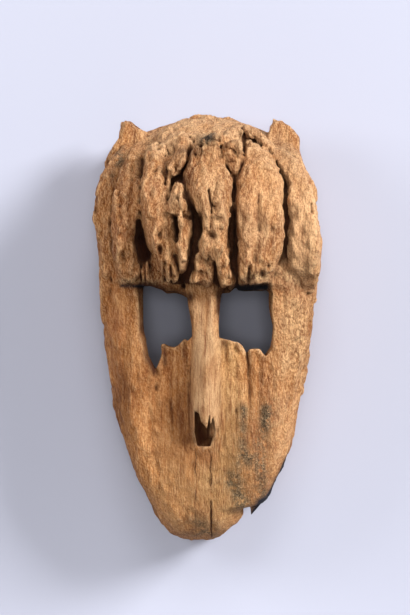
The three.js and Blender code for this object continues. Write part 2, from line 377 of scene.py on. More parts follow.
@dataclass(frozen=True)
class Brow:
    """The heavy brow: a block in front of the hood, and the lobes that hang on it."""

    edge: float = 37.5
    rows: tuple[Row, ...] = (
        (37.5, -82, 80, 130, 3.6), (60, -87, 85, 134, 3.2), (90, -90, 88, 136, 3), (119, -88, 86, 134, 2.9),
        (142, -81, 80, 128, 2.8), (157, -73, 72, 118, 2.7), (171, -60, 60, 103, 2.6), (182, -44, 45, 83, 2.5),
        (190, -22, 24, 58, 2.4),
    )
    lobes: tuple[Lobe, ...] = (
        # from left to right, and then three low ones between and beside them
        Lobe(((8, -93, -83, -2), (40, -95.5, -82, 3), (66, -97, -81.5, 6), (94, -99.5, -80.5, 8),
              (123, -96.5, -77, 8), (152, -83, -68, 5), (170, -72, -60, -2))),
        Lobe(((39, -77, -60.5, 16), (51, -81, -59, 20), (65, -82, -62, 22), (84, -82, -62, 24),
              (96, -81.5, -57.5, 24), (114, -79.5, -54.5, 22), (138, -76, -53, 12), (150, -72.5, -54, 7),
              (166, -66, -58, -2)), 2.0),
        Lobe(((42, -40, -27, 19), (53, -43, -24, 23), (65, -45, -25, 25), (77, -52.5, -27.5, 25),
              (90, -56, -28, 25), (102, -58.5, -29, 25), (114, -57.5, -31.5, 24), (126, -55, -32, 20),
              (138, -53, -33, 14), (152, -52, -33, 7), (167, -48, -36, -2))),
        Lobe(((126.5, -31, -25, 18), (132, -33, -24, 20), (138, -34, -21, 19), (148, -33.5, -16, 14),
              (156, -31, -13, 9), (172, -24, -12, -2)), 1.5),
        Lobe(((51, -22, -19, 20), (60, -23.5, -16.5, 23), (71, -25.5, -15.5, 25), (84, -25, -15, 26),
              (95, -25.5, -16, 26), (101, -35.5, -16.5, 26), (105, -36, -16.5, 26), (114, -33, -17.5, 25),
              (122, -30, -20, 23), (128, -27.5, -24.5, 18)), 0.6, True),
        Lobe(((74, -19.5, -14.5, 18), (85, -20.5, -13, 22), (97, -19.5, -13.5, 20)), 0.5, True),
        Lobe(((56, -11.5, 19, 26), (64, -11, 19, 29), (73, -10.5, 18.3, 30), (84, -8, 18.2, 30),
              (94, -8.5, 18.7, 30), (102, -11.5, 18.6, 30), (114, -18, 19.4, 29), (128, -20, 22, 25),
              (138, -19, 18.5, 20), (150, -16.4, 14, 15), (160, -14, 10.5, 10), (168, -11, 8, 4),
              (175, -9, 6, -2)), 1.0),
        Lobe(((38.5, -14, 4, 21), (47, -13, 3, 25), (60, -12, 3, 27), (72, -10, 3, 29)), 1.5),
        Lobe(((35.5, 8, 19.5, 18), (47, 5.5, 20.5, 25), (58, 4.5, 19.5, 28), (70, 4, 19, 30)), 1.5),
        Lobe(((155, -4, 2.6, 6), (159, -4.8, 3.2, 13), (165, -4.8, 3.6, 13), (169, -3, 3, 5)), 0.6),
        Lobe(((131, 19.5, 26, 10), (138, 16.5, 29.5, 14), (148, 13.5, 31, 16), (159, 13.5, 32, 12),
              (168, 12, 31, 8), (182, 14, 28, -2)), 2.0),
        Lobe(((40, 26.5, 50, 21), (58, 24.5, 57, 27), (70, 24.6, 62, 28), (82, 24, 63.2, 28),
              (102, 24.6, 63.4, 28), (114, 24.2, 63.4, 25), (124, 24, 62.4, 22), (136, 24.6, 59.8, 18),
              (141, 29, 58.5, 16), (150, 30.5, 55.5, 12), (157, 31.5, 47, 9), (163, 33, 40, 6),
              (168, 34.5, 37, 3), (172, 35, 36.5, -2)), 0.8, True),
        Lobe(((148, 52, 62, 8), (155, 51, 60, 8), (163, 45.5, 56, 8), (169, 37, 49.5, 7), (176, 26, 38, 5),
              (183, 16, 28, -2)), 2.0),
        Lobe(((34, 67, 92, -3), (43, 67, 94, 5), (51, 66.5, 95, 12), (61, 67, 96.5, 18), (71, 68, 97, 20),
              (84, 69, 97, 21), (102, 69, 94.5, 21), (114, 68, 91.5, 20), (129, 67, 86.5, 18),
              (138, 62.5, 81.5, 14), (150, 55.5, 75, 9), (164, 50, 62, -2)), 1.0, True),
        Lobe(((26, 48, 76, -2), (34, 50, 76, 1), (44, 52, 74, 4), (56, 57, 72, 4), (68, 63, 70, -3)), 3.0),
        Lobe(((37, -60, -46, 6), (46, -59.5, -48, 9), (56, -59, -51, 7), (66, -58, -54, 1)), 2.0),
        Lobe(((104, 86, 95, -2), (120, 82, 94, 6), (140, 74, 87, 8), (155, 66, 80, 8), (178, 48, 64, -2))),
    )
    block_round: float = 6.0
    edge_round: float = 3.0
    squareness: float = 3.2
    crisp_squareness: float = 5.0
    end_blend: float = 4.0
    crisp_end_blend: float = 1.5
    least_depth: float = 6.0
    depth_share: float = 0.6
    most_lean: float = 1.0
    most_climb: float = 1.2
    room: Point = (14.0, 16.0)
    levels: Point = (30.0, 172.0)

    def block(self, x: Array, y: Array, z: Array, rag: Array) -> Array:
        """Distance to the block: an arch over the brow, cut off at its ragged lower edge.

        Args:
            x: Places across the face.
            y: Places along the face.
            z: Places out of the face.
            rag: Raggedness of its lower edge.

        Returns:
            The distance, negative inside.
        """
        row = stations(self.rows, y.ravel())[1:, None, :, None]
        body = clip(arch(x, z, row), y - self.rows[-1][0], self.block_round)
        return clip(body, self.edge + rag - y, self.edge_round)

    def lobe_box(self, lobe: Lobe) -> tuple[Row, Row]:
        """Box that holds a lobe, with room round it for the blend.

        Args:
            lobe: The lobe's sizes.

        Returns:
            The box's low and high corner.
        """
        rows = np.array(lobe.rows)
        across, along = self.room
        low = (rows[:, 1].min() - across, rows[0, 0] - along, self.levels[0])
        high = (rows[:, 2].max() + across, rows[-1, 0] + along, self.levels[1])
        return low, high

    def lobe(self, lobe: Lobe, hood: Hood, x: Array, y: Array, z: Array, rag: Array) -> Array:
        """Distance to one lobe.

        Across the face its section is (|x - middle| / half)^p + (|z - centre| / depth)^p = 1, and both
        half sizes grow with the slope of its middle line.

        Args:
            lobe: The lobe's sizes.
            hood: The hood that it stands in front of.
            x: Places across the face.
            y: Places along the face.
            z: Places out of the face.
            rag: Raggedness of its ends.

        Returns:
            The distance, negative inside.
        """
        line = y.ravel()
        _, left, right, rise = stations(lobe.rows, line)
        middle, half = (left + right) / 2, (right - left) / 2
        plain = np.maximum(hood.height(middle, line), front_height(self.rows, middle, line))
        depth = self.least_depth + self.depth_share * rise
        centre = plain + rise - depth
        lean, climb = np.gradient(middle, line), np.gradient(centre, line)
        half = half * np.hypot(1, np.clip(lean, -self.most_lean, self.most_lean))
        depth = depth * np.hypot(1, np.clip(climb, -self.most_climb, self.most_climb))
        middle, centre, half, depth = (v[None, :, None] for v in (middle, centre, half, depth))
        power = self.crisp_squareness if lobe.crisp else self.squareness
        root = ((np.abs(x - middle) / half) ** power + (np.abs(z - centre) / depth) ** power) ** (1 / power)
        body = (root - 1) * np.minimum(half, depth)
        ends = np.maximum(lobe.rows[0][0] - y, y - lobe.rows[-1][0]) + lobe.ragged * rag
        return clip(body, ends, self.crisp_end_blend if lobe.crisp else self.end_blend)


@dataclass(frozen=True)
class Nose:
    """The long nose: a broad left facet, a sharp crest, a narrow right facet and a rotten end."""

    rows: tuple[Row, ...] = (
        (-110, -12, 4, -4, 107), (-103, -14, 4.6, -3.8, 112), (-97, -15, 5.8, -3.4, 119),
        (-90, -15.3, 7, -2.8, 127), (-82, -15.5, 8, -2.5, 131), (-40, -15.5, 9.3, -1.8, 134),
        (-8, -14.3, 9.5, 0.2, 133.5), (5, -14, 9.8, 2.4, 133.5), (25, -16, 10.6, 3.2, 134),
        (36, -18, 11, 3, 137), (60, -16, 8, 1, 142),
    )
    # each is how far right of its line and how far down from the crest
    shoulder: Point = (2.4, 4.8)
    brink: Point = (4.0, 1.5)
    left_drop: float = 11.0
    right_drop: float = 10.0
    edge_round: float = 0.2
    base: float = 106.0
    rot: tuple[Point, ...] = (
        (-9.4, -101.7), (2.3, -102), (3.8, -95.8), (6, -88.4), (4.7, -81), (3.9, -76), (2.9, -81), (2, -81),
        (1.1, -72.5), (-0.5, -81), (-1.3, -85), (-2.9, -82.3), (-5.7, -79.8), (-7.9, -72.5), (-10.9, -70.9),
        (-11.9, -88.4),
    )
    rot_rag: float = 0.3
    rot_floor: float = 104.5
    shelf: float = 11.0
    shelf_across: Point = (-1.5, 2.5)
    shelf_along: Point = (-96.0, -90.0)
    box: tuple[Row, Row] = ((-30, -112, 96), (24, 70, 160))

    def solid(self, x: Array, y: Array, z: Array) -> Array:
        """Distance to the ridge: what lies below its facets and between its feet at each height.

        Args:
            x: Places across the face.
            y: Places along the face.
            z: Places out of the face.

        Returns:
            The distance, negative inside.
        """
        _, left, right, crest, top = stations(self.rows, y.ravel())[:, None, :, None]
        shoulder = (left + self.shoulder[0], top - self.shoulder[1])
        brink = (crest + self.brink[0], top - self.brink[1])
        facets = [
            self.below(x, z, left, top - self.left_drop, *shoulder),
            self.below(x, z, *shoulder, crest, top),
            self.below(x, z, crest, top, *brink),
            self.below(x, z, *brink, right, top - self.right_drop),
        ]
        body = np.maximum(left - x, x - right)
        for facet in facets:
            body = clip(body, facet, self.edge_round)
        ends = np.maximum(self.rows[0][0] - y, y - self.rows[-1][0])
        return np.maximum(body, np.maximum(self.base - z, ends))

    @staticmethod
    def below(x: Array, z: Array, ax: Array, az: Array, bx: Array, bz: Array) -> Array:
        """Signed distance to the line from a to b, negative on the side away from the face's front."""
        run, climb = bx - ax, bz - az
        return ((z - az) * run - (x - ax) * climb) / np.hypot(run, climb)

    def decay(self, x: Array, y: Array, z: Array, rag: Array) -> Array:
        """Distance to what is rotted away at the nose's end, over a floor with a higher right side.

        Args:
            x: Places across the face.
            y: Places along the face.
            z: Places out of the face.
            rag: Raggedness of the hole and of its floor.

        Returns:
            The distance, negative in the hole.
        """
        hole = outline_distance(x, y, self.rot) + self.rot_rag * rag
        step = smooth_step(x, *self.shelf_across) * smooth_step(y, *self.shelf_along)
        return np.maximum(hole, self.rot_floor + self.shelf * step + rag - z)


@dataclass(frozen=True)
class Ears:
    """The stumps of the two broken ears behind the crown."""

    left: tuple[Row, ...] = (
        (150, -91, -46), (165, -85.2, -48), (171, -81.1, -49), (177.3, -80.3, -52.4), (178.4, -80.2, -59),
        (181.4, -79.9, -64.7), (186.3, -79, -70.4),
    )
    right: tuple[Row, ...] = (
        (150, 48, 84), (163, 52, 82.2), (170, 54.5, 81.3), (177, 56.8, 77.2), (182.8, 58, 72.4),
        (186.3, 61.5, 67.5),
    )
    back: float = 28.0
    front: float = 74.0
    wedge: float = 0.25
    edge_round: float = 6.0
    top_round: float = 2.0
    top_rag: float = 0.5

    def solid(self, rows: tuple[Row, ...], x: Array, y: Array, z: Array, rag: Array) -> Array:
        """Distance to one stump: between its two edges, thinning towards its top.

        Args:
            rows: The stump's rows of height on the face, left edge and right edge.
            x: Places across the face.
            y: Places along the face.
            z: Places out of the face.
            rag: Raggedness of its top.

        Returns:
            The distance, negative inside.
        """
        low, high = rows[0][0], rows[-1][0]
        _, left, right = stations(rows, y.ravel())[:, None, :, None]
        lean = self.wedge * (y - low)
        thick = np.maximum(self.back + lean - z, z - self.front + lean)
        wide = np.maximum(left - x, x - right)
        top = np.maximum(low - y, y - high) + self.top_rag * rag
        return clip(clip(wide, thick, self.edge_round), top, self.top_round)


@dataclass(frozen=True)
class Eye:
    """One eye hole: its outline at the back of the plate, seen from the front, and how far it cuts.

    Towards the front it widens by one share left of its middle and by another right of it.
    """

    outline: tuple[Point, ...]
    flare: Point
    inner: float = 98.0
    outer: float = 125.0
    most_share: float = 1.2
    top: float = 132.0
    behind: float = 14.0
    ragged: float = 0.45
    room: float = 18.0
    levels: Point = (80.0, 136.0)

    def hole(self, x: Array, y: Array, z: Array, rag: Array) -> Array:
        """Distance to the hole: the outline carried through the plate, widening towards the front.

        Args:
            x: Places across the face.
            y: Places along the face.
            z: Places out of the face.
            rag: Raggedness of its edge.

        Returns:
            The distance, negative in the hole.
        """
        middle = np.mean([corner[0] for corner in self.outline])
        share = np.clip((z - self.inner) / (self.outer - self.inner), 0, self.most_share)
        scale = 1 + share * (np.where(x < middle, *self.flare) - 1)
        wide = outline_distance(middle + (x - middle) / scale, y + 0 * z, self.outline) + self.ragged * rag
        return np.maximum(wide, np.maximum(self.inner - self.behind - z, z - self.top))

    def box(self) -> tuple[Row, Row]:
        """Box that holds the hole, with room round it.

        Returns:
            The box's low and high corner.
        """
        corners = np.array(self.outline)
        low, high = corners.min(axis=0) - self.room, corners.max(axis=0) + self.room
        return (*low, self.levels[0]), (*high, self.levels[1])


LEFT_EYE = Eye((
    (-55, 37.3), (-47.2, 37.8), (-41.3, 34.6), (-36.4, 31.9), (-30.5, 32.4), (-22.7, 30.4), (-18.3, 27.5),
    (-16.8, 19.7), (-14.4, 5), (-14.1, -6.3), (-17.8, -9.7), (-20.6, -7.7), (-26.1, -14.6), (-29.6, -16.2),
    (-34.5, -15.1), (-38.2, -12.6), (-39.8, -14), (-39.8, -20.5), (-43.5, -35.8), (-45.2, -34.6),
    (-51.1, -23.4), (-52.6, -7.7), (-54.2, -2.8), (-55.3, 27.5),
), (1.36, 1.02))
RIGHT_EYE = Eye((
    (12, 31.4), (18.4, 31.9), (24.5, 36.3), (26.7, 33.2), (38, 32.9), (50.2, 34.8), (52.9, 31.9),
    (52.5, 18.7), (54.8, 3), (54.4, -8.7), (53.9, -16.5), (48.7, -23.9), (46.3, -20.5), (44, -17.3),
    (38, -17), (35.5, -17.7), (34.3, -20.9), (32.6, -20.3), (29.7, -14.6), (25.5, -10.5), (15.5, -8.7),
    (9.8, -7.5), (10.1, 7.9), (10.8, 22.6),
), (1.03, 1.2))


@dataclass(frozen=True)
class Groove:
    """A groove or split in the front that follows a path and is deepest on it."""

    path: tuple[Point, ...]
    width: float
    depth: float

    def carved(self, x: Array, y: Array) -> Array:
        """Depth over the face: depth times the bell curve of the distance to the path over the width."""
        near = np.minimum.reduce([segment_distance(x, y, a, b) for a, b in zip(self.path, self.path[1:])])
        return self.depth * np.exp(-((near / self.width) ** 2))


@dataclass(frozen=True)
class Dish:
    """A shallow sunk place in the plate."""

    middle: Point
    half: Point
    depth: float

    def carved(self, x: Array, y: Array) -> Array:
        """Depth over the face: depth times (1 - r^2)^1.3, r being the distance in half sizes."""
        r2 = ((x - self.middle[0]) / self.half[0]) ** 2 + ((y - self.middle[1]) / self.half[1]) ** 2
        return self.depth * np.clip(1 - r2, 0, 1) ** 1.3


@dataclass(frozen=True)
class Carving:
    """What sinks the front of the plate: the cheeks, the creases and the splits."""

    marks: tuple[Groove | Dish, ...] = (
        Dish((-34, -44), (27, 84), 5),
        Dish((33, -46), (26, 80), 4.5),
        # long soft grooves of the cheeks and the stiles
        Groove(((-44, -36), (-45.5, -52)), 2.0, 2.4),
        Groove(((-45.5, -50), (-43, -86)), 2.6, 1.2),
        Groove(((-32.5, -20), (-33, -60), (-31, -98)), 1.6, 1.6),
        Groove(((-25, -12), (-25.5, -52), (-24, -80)), 1.5, 1.4),
        Groove(((15, -14), (14.5, -60), (12, -104)), 1.8, 1.8),
        Groove(((24, -14), (24, -40), (22, -88)), 1.4, 1.2),
        Groove(((45, -26), (44, -60), (40, -96)), 1.6, 1.4),
        Groove(((-54, -34), (-52, -70), (-46, -118)), 1.8, 1.2),
        Groove(((-82, 20), (-84, -30), (-76, -90), (-66, -130)), 1.5, 1.0),
        # pits and holes of the brow
        Groove(((0.4, 80.5), (5.6, 79)), 2.6, 5),
        Groove(((22, 132), (21.6, 110), (21.4, 60)), 1.0, 8),
        Groove(((7.6, 104), (7.8, 101)), 2.2, 5),
        Groove(((1.6, 117), (4, 99)), 1.3, 4),
        Groove(((-55.5, 148), (-55.5, 132)), 3.2, 9),
        Groove(((-74, 146), (-75.5, 120), (-74, 96)), 2.8, 2.6),
        Groove(((-65, 142), (-66, 116), (-65, 92)), 2.2, 2.4),
        Groove(((4.8, 167), (3.4, 160)), 1.5, 7),
        Groove(((-6, 162), (-5.4, 157)), 1.5, 8),
        Groove(((-2.4, 164), (0.6, 160.5)), 0.9, 4),
        Groove(((-11, 153), (-11, 149)), 2.4, 5),
        Groove(((-15.4, 155), (-18, 144), (-22.6, 134), (-24, 127)), 1.8, 8),
        Groove(((-95.5, 115), (-96, 102)), 1.4, 5),
        Groove(((89, 108), (89.5, 101)), 1.3, 5),
        # crevices round the pointed top of the right lobe
        Groove(((30.5, 177), (32.2, 170), (32, 160), (31, 150), (28, 138), (24, 130)), 1.5, 9),
        Groove(((32.2, 170), (38, 166.5), (47, 160.5), (54, 157.5), (57.5, 147), (61, 138), (65.5, 125)),
               2.4, 12),
        Groove(((41, 114), (40.5, 96), (42, 84)), 2.2, 3.0),
        # dents between the lobes and along the lower edge of the brow
        Groove(((-44, 160), (-37.5, 150), (-35.5, 136), (-34.5, 120)), 3.0, 6),
        Groove(((7.5, 165), (4.6, 152), (2, 138)), 1.3, 2.6),
        Groove(((-60, 92), (-58, 78)), 3.0, 8),
        Groove(((-58, 78), (-54, 64)), 5.0, 12),
        Groove(((-55.5, 60), (-55, 40)), 0.9, 5),
        Groove(((-51, 56), (-50, 38)), 0.9, 4),
        Groove(((-41, 69), (-39, 62)), 2.4, 7),
        Groove(((-27, 62), (-24, 50), (-20, 38)), 2.2, 10),
        Groove(((-37, 57), (-37.5, 42)), 1.3, 6),
        Groove(((-32, 54), (-31.5, 40)), 1.2, 5),
        Groove(((-72, 60), (-70, 50), (-72, 42)), 1.8, 1.5),
        Groove(((34, 52), (33, 40)), 1.6, 5),
        Groove(((44, 48), (44.5, 40)), 1.4, 4),
    )
    cracks: tuple[Groove, ...] = (
        Groove(((2.6, -111), (2.2, -137)), 0.7, 1.2),
        Groove(((2.6, -151), (3.0, -184)), 0.8, 2.4),
        Groove(((33.8, -19), (34.2, -25), (35.4, -33), (35.0, -40)), 1.1, 3.0),
        Groove(((35.0, -40), (35.9, -50), (35.6, -58), (36.8, -68)), 1.4, 1.5),
    )
    chin_cracks: int = 2
    open_depth: Point = (0.6, 2.4)

    def depth(self, x: Array, y: Array) -> Array:
        """Total depth over the face."""
        return sum(mark.carved(x, y) for mark in self.marks + self.cracks)

    def open_cracks(self, x: Array, y: Array) -> Array:
        """How open the first cracks, those of the chin, are over the face, from 0 to 1."""
        depth = sum(crack.carved(x, y) for crack in self.cracks[:self.chin_cracks])
        return smooth_step(depth, *self.open_depth)


@dataclass(frozen=True)
class Wear:
    """One kind of wear: its depth, the random field that it follows and the band of the field's values."""

    depth: float
    grain: Grain
    band: Point = (0.0, 1.0)

    def waves(self, lattice: Lattice, gain: Array) -> Array:
        """Depth that swings both ways with the field: depth times gain times the field."""
        return self.depth * gain * self.grain.on(lattice)

    def lines(self, lattice: Lattice) -> Array:
        """1 along the sheets where the field is near nought, and 0 past the band."""
        return 1 - smooth_step(np.abs(self.grain.on(lattice)), *self.band)

    def patches(self, lattice: Lattice) -> Array:
        """0 where the field is under the band and 1 where it is over it."""
        return smooth_step(self.grain.on(lattice), *self.band)


@dataclass(frozen=True)
class Weathering:
    """How rot and rain have worn the wood. Depths are millimetres."""

    warp: float = 0.9
    warp_quick: float = 0.5
    warp_out: float = 0.8
    warp_begins: Point = (4.0, 40.0)
    warp_grains: tuple[Grain, ...] = (
        Grain(11, (16, 34, 22)), Grain(12, (7, 20, 12)), Grain(13, (14, 30, 30)),
    )
    fibre: Wear = Wear(0.46, Grain(21, (2.4, 4.2, 3)))
    furrow: Wear = Wear(0.46, Grain(22, (4.2, 15, 7)))
    lump: Wear = Wear(0.5, Grain(23, (9, 19, 13)))
    crown_lump: Wear = Wear(1.0, Grain(29, (9, 8, 14)))
    crown_crease: Wear = Wear(1.5, Grain(30, (9, 7, 9)), (0.0, 0.4))
    rill: Wear = Wear(0.6, Grain(28, (5.5, 26, 9)), (0.0, 0.36))
    pit: Wear = Wear(1.2, Grain(24, (4.0, 6.5, 5)), (0.8, 2.6))
    crumble: Wear = Wear(0.5, Grain(35, (2.8, 3.8, 3.2)), (0.1, 1.6))
    split: Wear = Wear(1.2, Grain(25, (7, 44, 30)), (0.02, 0.16))
    split_place: Wear = Wear(1.0, Grain(26, (16, 34, 30)), (0.4, 1.1))
    inside: Wear = Wear(0.3, Grain(32, (10, 14, 10)))
    rag: Grain = Grain(31, (4.5, 9, 7))
    brow_gain: float = 1.35
    crown_gain: float = 0.8
    crown_rough: float = 0.3
    crown_as_brow: float = 0.8
    # how much of each there is away from the brow
    rill_least: float = 0.12
    pit_least: float = 0.2
    split_least: float = 0.2
    # how much of the wear the calm places, the nose and the splinter are spared
    most_calm: float = 0.9
    nose_kept: float = 0.75
    splinter_kept: float = 0.9
    # where the brow, the crown and the nose begin and are whole
    brow_along: Point = (24.0, 46.0)
    brow_out: Point = (80.0, 104.0)
    crown_across: Point = (64.0, 46.0)
    crown_along: Point = (132.0, 156.0)
    crown_out: Point = (22.0, 44.0)
    nose_middle: Point = (-3.0, -36.0)
    nose_across: Point = (15.0, 11.0)
    nose_along: Point = (74.0, 62.0)
    nose_out: Point = (112.0, 120.0)
    splinter_middle: Point = (43.0, -158.0)
    splinter_round: Point = (16.0, 8.0)
    calm: tuple[Dish, ...] = (
        Dish((82, 92), (24, 66), 0.8), Dish((-46, 90), (14, 44), 0.95), Dish((44, 108), (24, 50), 0.95),
        Dish((-72, 72), (16, 50), 0.8), Dish((22, 157), (14, 26), 0.8),
    )
    rough: tuple[Dish, ...] = (
        Dish((76, 37), (24, 13), 1.5), Dish((-84, 60), (12, 40), 0.4), Dish((80, -20), (32, 70), 2.4),
    )

    def warped(self, lattice: Lattice, x: Array, z: Array) -> tuple[Array, Array]:
        """Shifts places across and out of the face by slow random amounts, so that no form stays straight.

        Args:
            lattice: The lattice.
            x: Places across the face.
            z: Places out of the face.

        Returns:
            The shifted places across and out of the face.
        """
        slow, quick, deep = (grain.on(lattice) for grain in self.warp_grains)
        across = slow + self.warp_quick * quick
        out = self.warp_out * self.warp * deep * smooth_step(z, *self.warp_begins)
        return x + self.warp * across, z + out

    def crown(self, x: Array, y: Array, z: Array) -> Array:
        """How much each place belongs to the crown."""
        along = smooth_step(y, *self.crown_along) * smooth_step(z, *self.crown_out)
        return along * smooth_step(np.abs(x), *self.crown_across)

    def kept(self, x: Array, y: Array, z: Array) -> Array:
        """Share of the wear that the nose and the thin splinter take, 1 everywhere else.

        Args:
            x: Places across the face.
            y: Places along the face.
            z: Places out of the face.

        Returns:
            The share at each place.
        """
        across = smooth_step(np.abs(x - self.nose_middle[0]), *self.nose_across)
        along = smooth_step(np.abs(y - self.nose_middle[1]), *self.nose_along)
        nose = across * along * smooth_step(z, *self.nose_out)
        far = np.hypot(x - self.splinter_middle[0], y - self.splinter_middle[1])
        return (1 - self.nose_kept * nose) * (1 - self.splinter_kept * smooth_step(far, *self.splinter_round))

    def worn(self, lattice: Lattice, x: Array, y: Array, z: Array) -> Array:
        """How much wood is gone at each place.

        It is the sum of fibres, furrows and lumps, which are random fields over longer and longer
        cells, of sharp rills where one more field is near 0, of pits and crumbs where others are high,
        and of upright splits where two more agree. The crown has lumps and creases of its own. The
        nose, the calm places and the thin splinter are worn less than the rest. Near the crown the
        field is steeper along the face than a true distance, so the wear counts for more there.

        Args:
            lattice: The lattice.
            x: Places across the face.
            y: Places along the face.
            z: Places out of the face.

        Returns:
            The depth worn away, in places a little negative.
        """
        crown = self.crown(x, y, z)
        still = np.minimum(sum(place.carved(x, y) for place in self.calm), self.most_calm)
        rough = sum(place.carved(x, y) for place in self.rough) + self.crown_rough * crown
        brow = smooth_step(y, *self.brow_along) * smooth_step(z, *self.brow_out)
        brow = np.maximum(brow, self.crown_as_brow * crown) * (1 - still)
        gain = 1 + (self.brow_gain - 1) * brow
        total = self.fibre.waves(lattice, gain)
        total += self.furrow.waves(lattice, gain)
        total += self.lump.waves(lattice, gain)
        total += self.crown_lump.waves(lattice, crown)
        total += self.crown_crease.depth * crown * self.crown_crease.lines(lattice)
        rilled = self.rill_least + (1 - self.rill_least) * brow
        total += self.rill.depth * self.rill.lines(lattice) * rilled
        pitted = (self.pit_least + brow) * (1 - still) + rough
        total += self.pit.depth * self.pit.patches(lattice) * pitted
        total += self.crumble.depth * self.crumble.patches(lattice) * rough
        riven = self.split_least + (1 - self.split_least) * brow
        open_here = self.split_place.patches(lattice) * riven * (1 - still)
        total += self.split.depth * self.split.lines(lattice) * open_here
        return total * (1 + self.crown_gain * crown) * self.kept(x, y, z)


class Skin:
    """The surface where a field is nought, with one point in each lattice cell that it crosses."""

    def __init__(self, values: Array, lattice: Lattice) -> None:
        """Draws the surface.

        The point of a cell is the mean of where the surface crosses the cell's edges, found by
        straight lines between the values at an edge's ends. Each lattice edge that it crosses gets a
        four-sided face between the points of the four cells round that edge.

        Args:
            values: The field, negative inside.
            lattice: The lattice that it is on.
        """
        inside = values < 0
        cells = tuple(n - 1 for n in inside.shape)
        corners = list(np.ndindex(2, 2, 2))
        count = sum(inside[tuple(slice(c, c + n) for c, n in zip(corner, cells))].astype(np.int8)
                    for corner in corners)
        crossed = (count > 0) & (count < 8)
        number = np.full(cells, -1, dtype=np.int64)
        number[crossed] = np.arange(crossed.sum())
        home = np.argwhere(crossed)
        at = [values[tuple((home + np.array(corner)).T)] for corner in corners]
        total, hits = np.zeros((len(home), 3)), np.zeros(len(home))
        for a, start in enumerate(corners):
            for b in range(a + 1, 8):
                step = np.array(corners[b]) - np.array(start)
                if np.abs(step).sum() != 1:
                    continue
                across = (at[a] < 0) != (at[b] < 0)
                share = np.where(across, at[a] / np.where(across, at[a] - at[b], 1), 0)
                total += np.where(across[:, None], np.array(start) + share[:, None] * step, 0)
                hits += across
        place = home + total / hits[:, None]
        self.points = place * np.array(lattice.step) + np.array(lattice.low)
        self.faces = np.concatenate([self.edge_faces(inside, number, k) for k in range(3)])
        self.keep_largest()

    @staticmethod
    def edge_faces(inside: NDArray[np.bool_], number: NDArray[np.int64], k: int) -> NDArray[np.int64]:
        """Faces round the crossed lattice edges of one direction, turned to face outwards.

        Args:
            inside: Which lattice points are inside.
            number: The point of each cell, or -1.
            k: The edges' direction.

        Returns:
            Four point numbers for each face.
        """
        turned = np.moveaxis(inside, (k, (k + 1) % 3, (k + 2) % 3), (0, 1, 2))
        cell = np.moveaxis(number, (k, (k + 1) % 3, (k + 2) % 3), (0, 1, 2))
        leaves = turned[:-1, 1:-1, 1:-1] & ~turned[1:, 1:-1, 1:-1]
        enters = ~turned[:-1, 1:-1, 1:-1] & turned[1:, 1:-1, 1:-1]
        ring = [cell[:, :-1, :-1], cell[:, 1:, :-1], cell[:, 1:, 1:], cell[:, :-1, 1:]]
        out = np.stack([part[leaves] for part in ring], axis=1)
        back = np.stack([part[enters] for part in ring[::-1]], axis=1)
        return np.concatenate([out, back])

    def keep_largest(self) -> None:
        """Drops loose crumbs and sealed bubbles: each point takes the lowest number it is linked to."""
        label = np.arange(len(self.points))
        ends = np.concatenate([self.faces[:, [a, (a + 1) % 4]] for a in range(4)])
        while True:
            lowest = np.minimum(label[ends[:, 0]], label[ends[:, 1]])
            fresh = label.copy()
            np.minimum.at(fresh, ends[:, 0], lowest)
            np.minimum.at(fresh, ends[:, 1], lowest)
            fresh = fresh[fresh]
            if np.array_equal(fresh, label):
                break
            label = fresh
        main = np.bincount(label).argmax()
        kept = label == main
        self.faces = self.faces[kept[self.faces[:, 0]]]
        number = np.cumsum(kept) - 1
        self.points, self.faces = self.points[kept], number[self.faces]


def spread(inside: Array, lattice: Lattice, radius: float) -> Array:
    """Share of wood round each lattice point: the mean over a box, taken twice for an even fall-off.

    Args:
        inside: 1 where there is wood and 0 elsewhere.
        lattice: The lattice.
        radius: Half the box's side.

    Returns:
        The share, a half on a flat surface, more in a groove and less on a ridge.
    """
    share = inside
    for _ in range(2):
        for k in range(3):
            reach = max(1, int(round(radius / lattice.step[k])))
            pad = [(reach + 1, reach) if j == k else (0, 0) for j in range(3)]
            total = np.cumsum(np.pad(share, pad, mode="edge"), axis=k, dtype=np.float32)
            first = np.take(total, range(0, share.shape[k]), axis=k)
            last = np.take(total, range(2 * reach + 1, share.shape[k] + 2 * reach + 1), axis=k)
            share = (last - first) / (2 * reach + 1)
    return share


@dataclass(frozen=True)
class Blot:
    """A stained patch of the front: its middle, half sizes and strength."""

    middle: Point
    half: Point
    strength: float = 1.0

    def over(self, x: Array, y: Array) -> Array:
        """Strength over the face: a bell curve of the distance in half sizes."""
        r2 = ((x - self.middle[0]) / self.half[0]) ** 2 + ((y - self.middle[1]) / self.half[1]) ** 2
        return self.strength * np.exp(-r2)


@dataclass(frozen=True)
class Smear:
    """A stain that follows a path over the front: its width and strength."""

    path: tuple[Point, ...]
    width: float
    strength: float = 1.0

    def over(self, x: Array, y: Array) -> Array:
        """Strength over the face: a bell curve of the distance to the path over the width."""
        near = np.minimum.reduce([segment_distance(x, y, a, b) for a, b in zip(self.path, self.path[1:])])
        return self.strength * np.exp(-((near / self.width) ** 2))


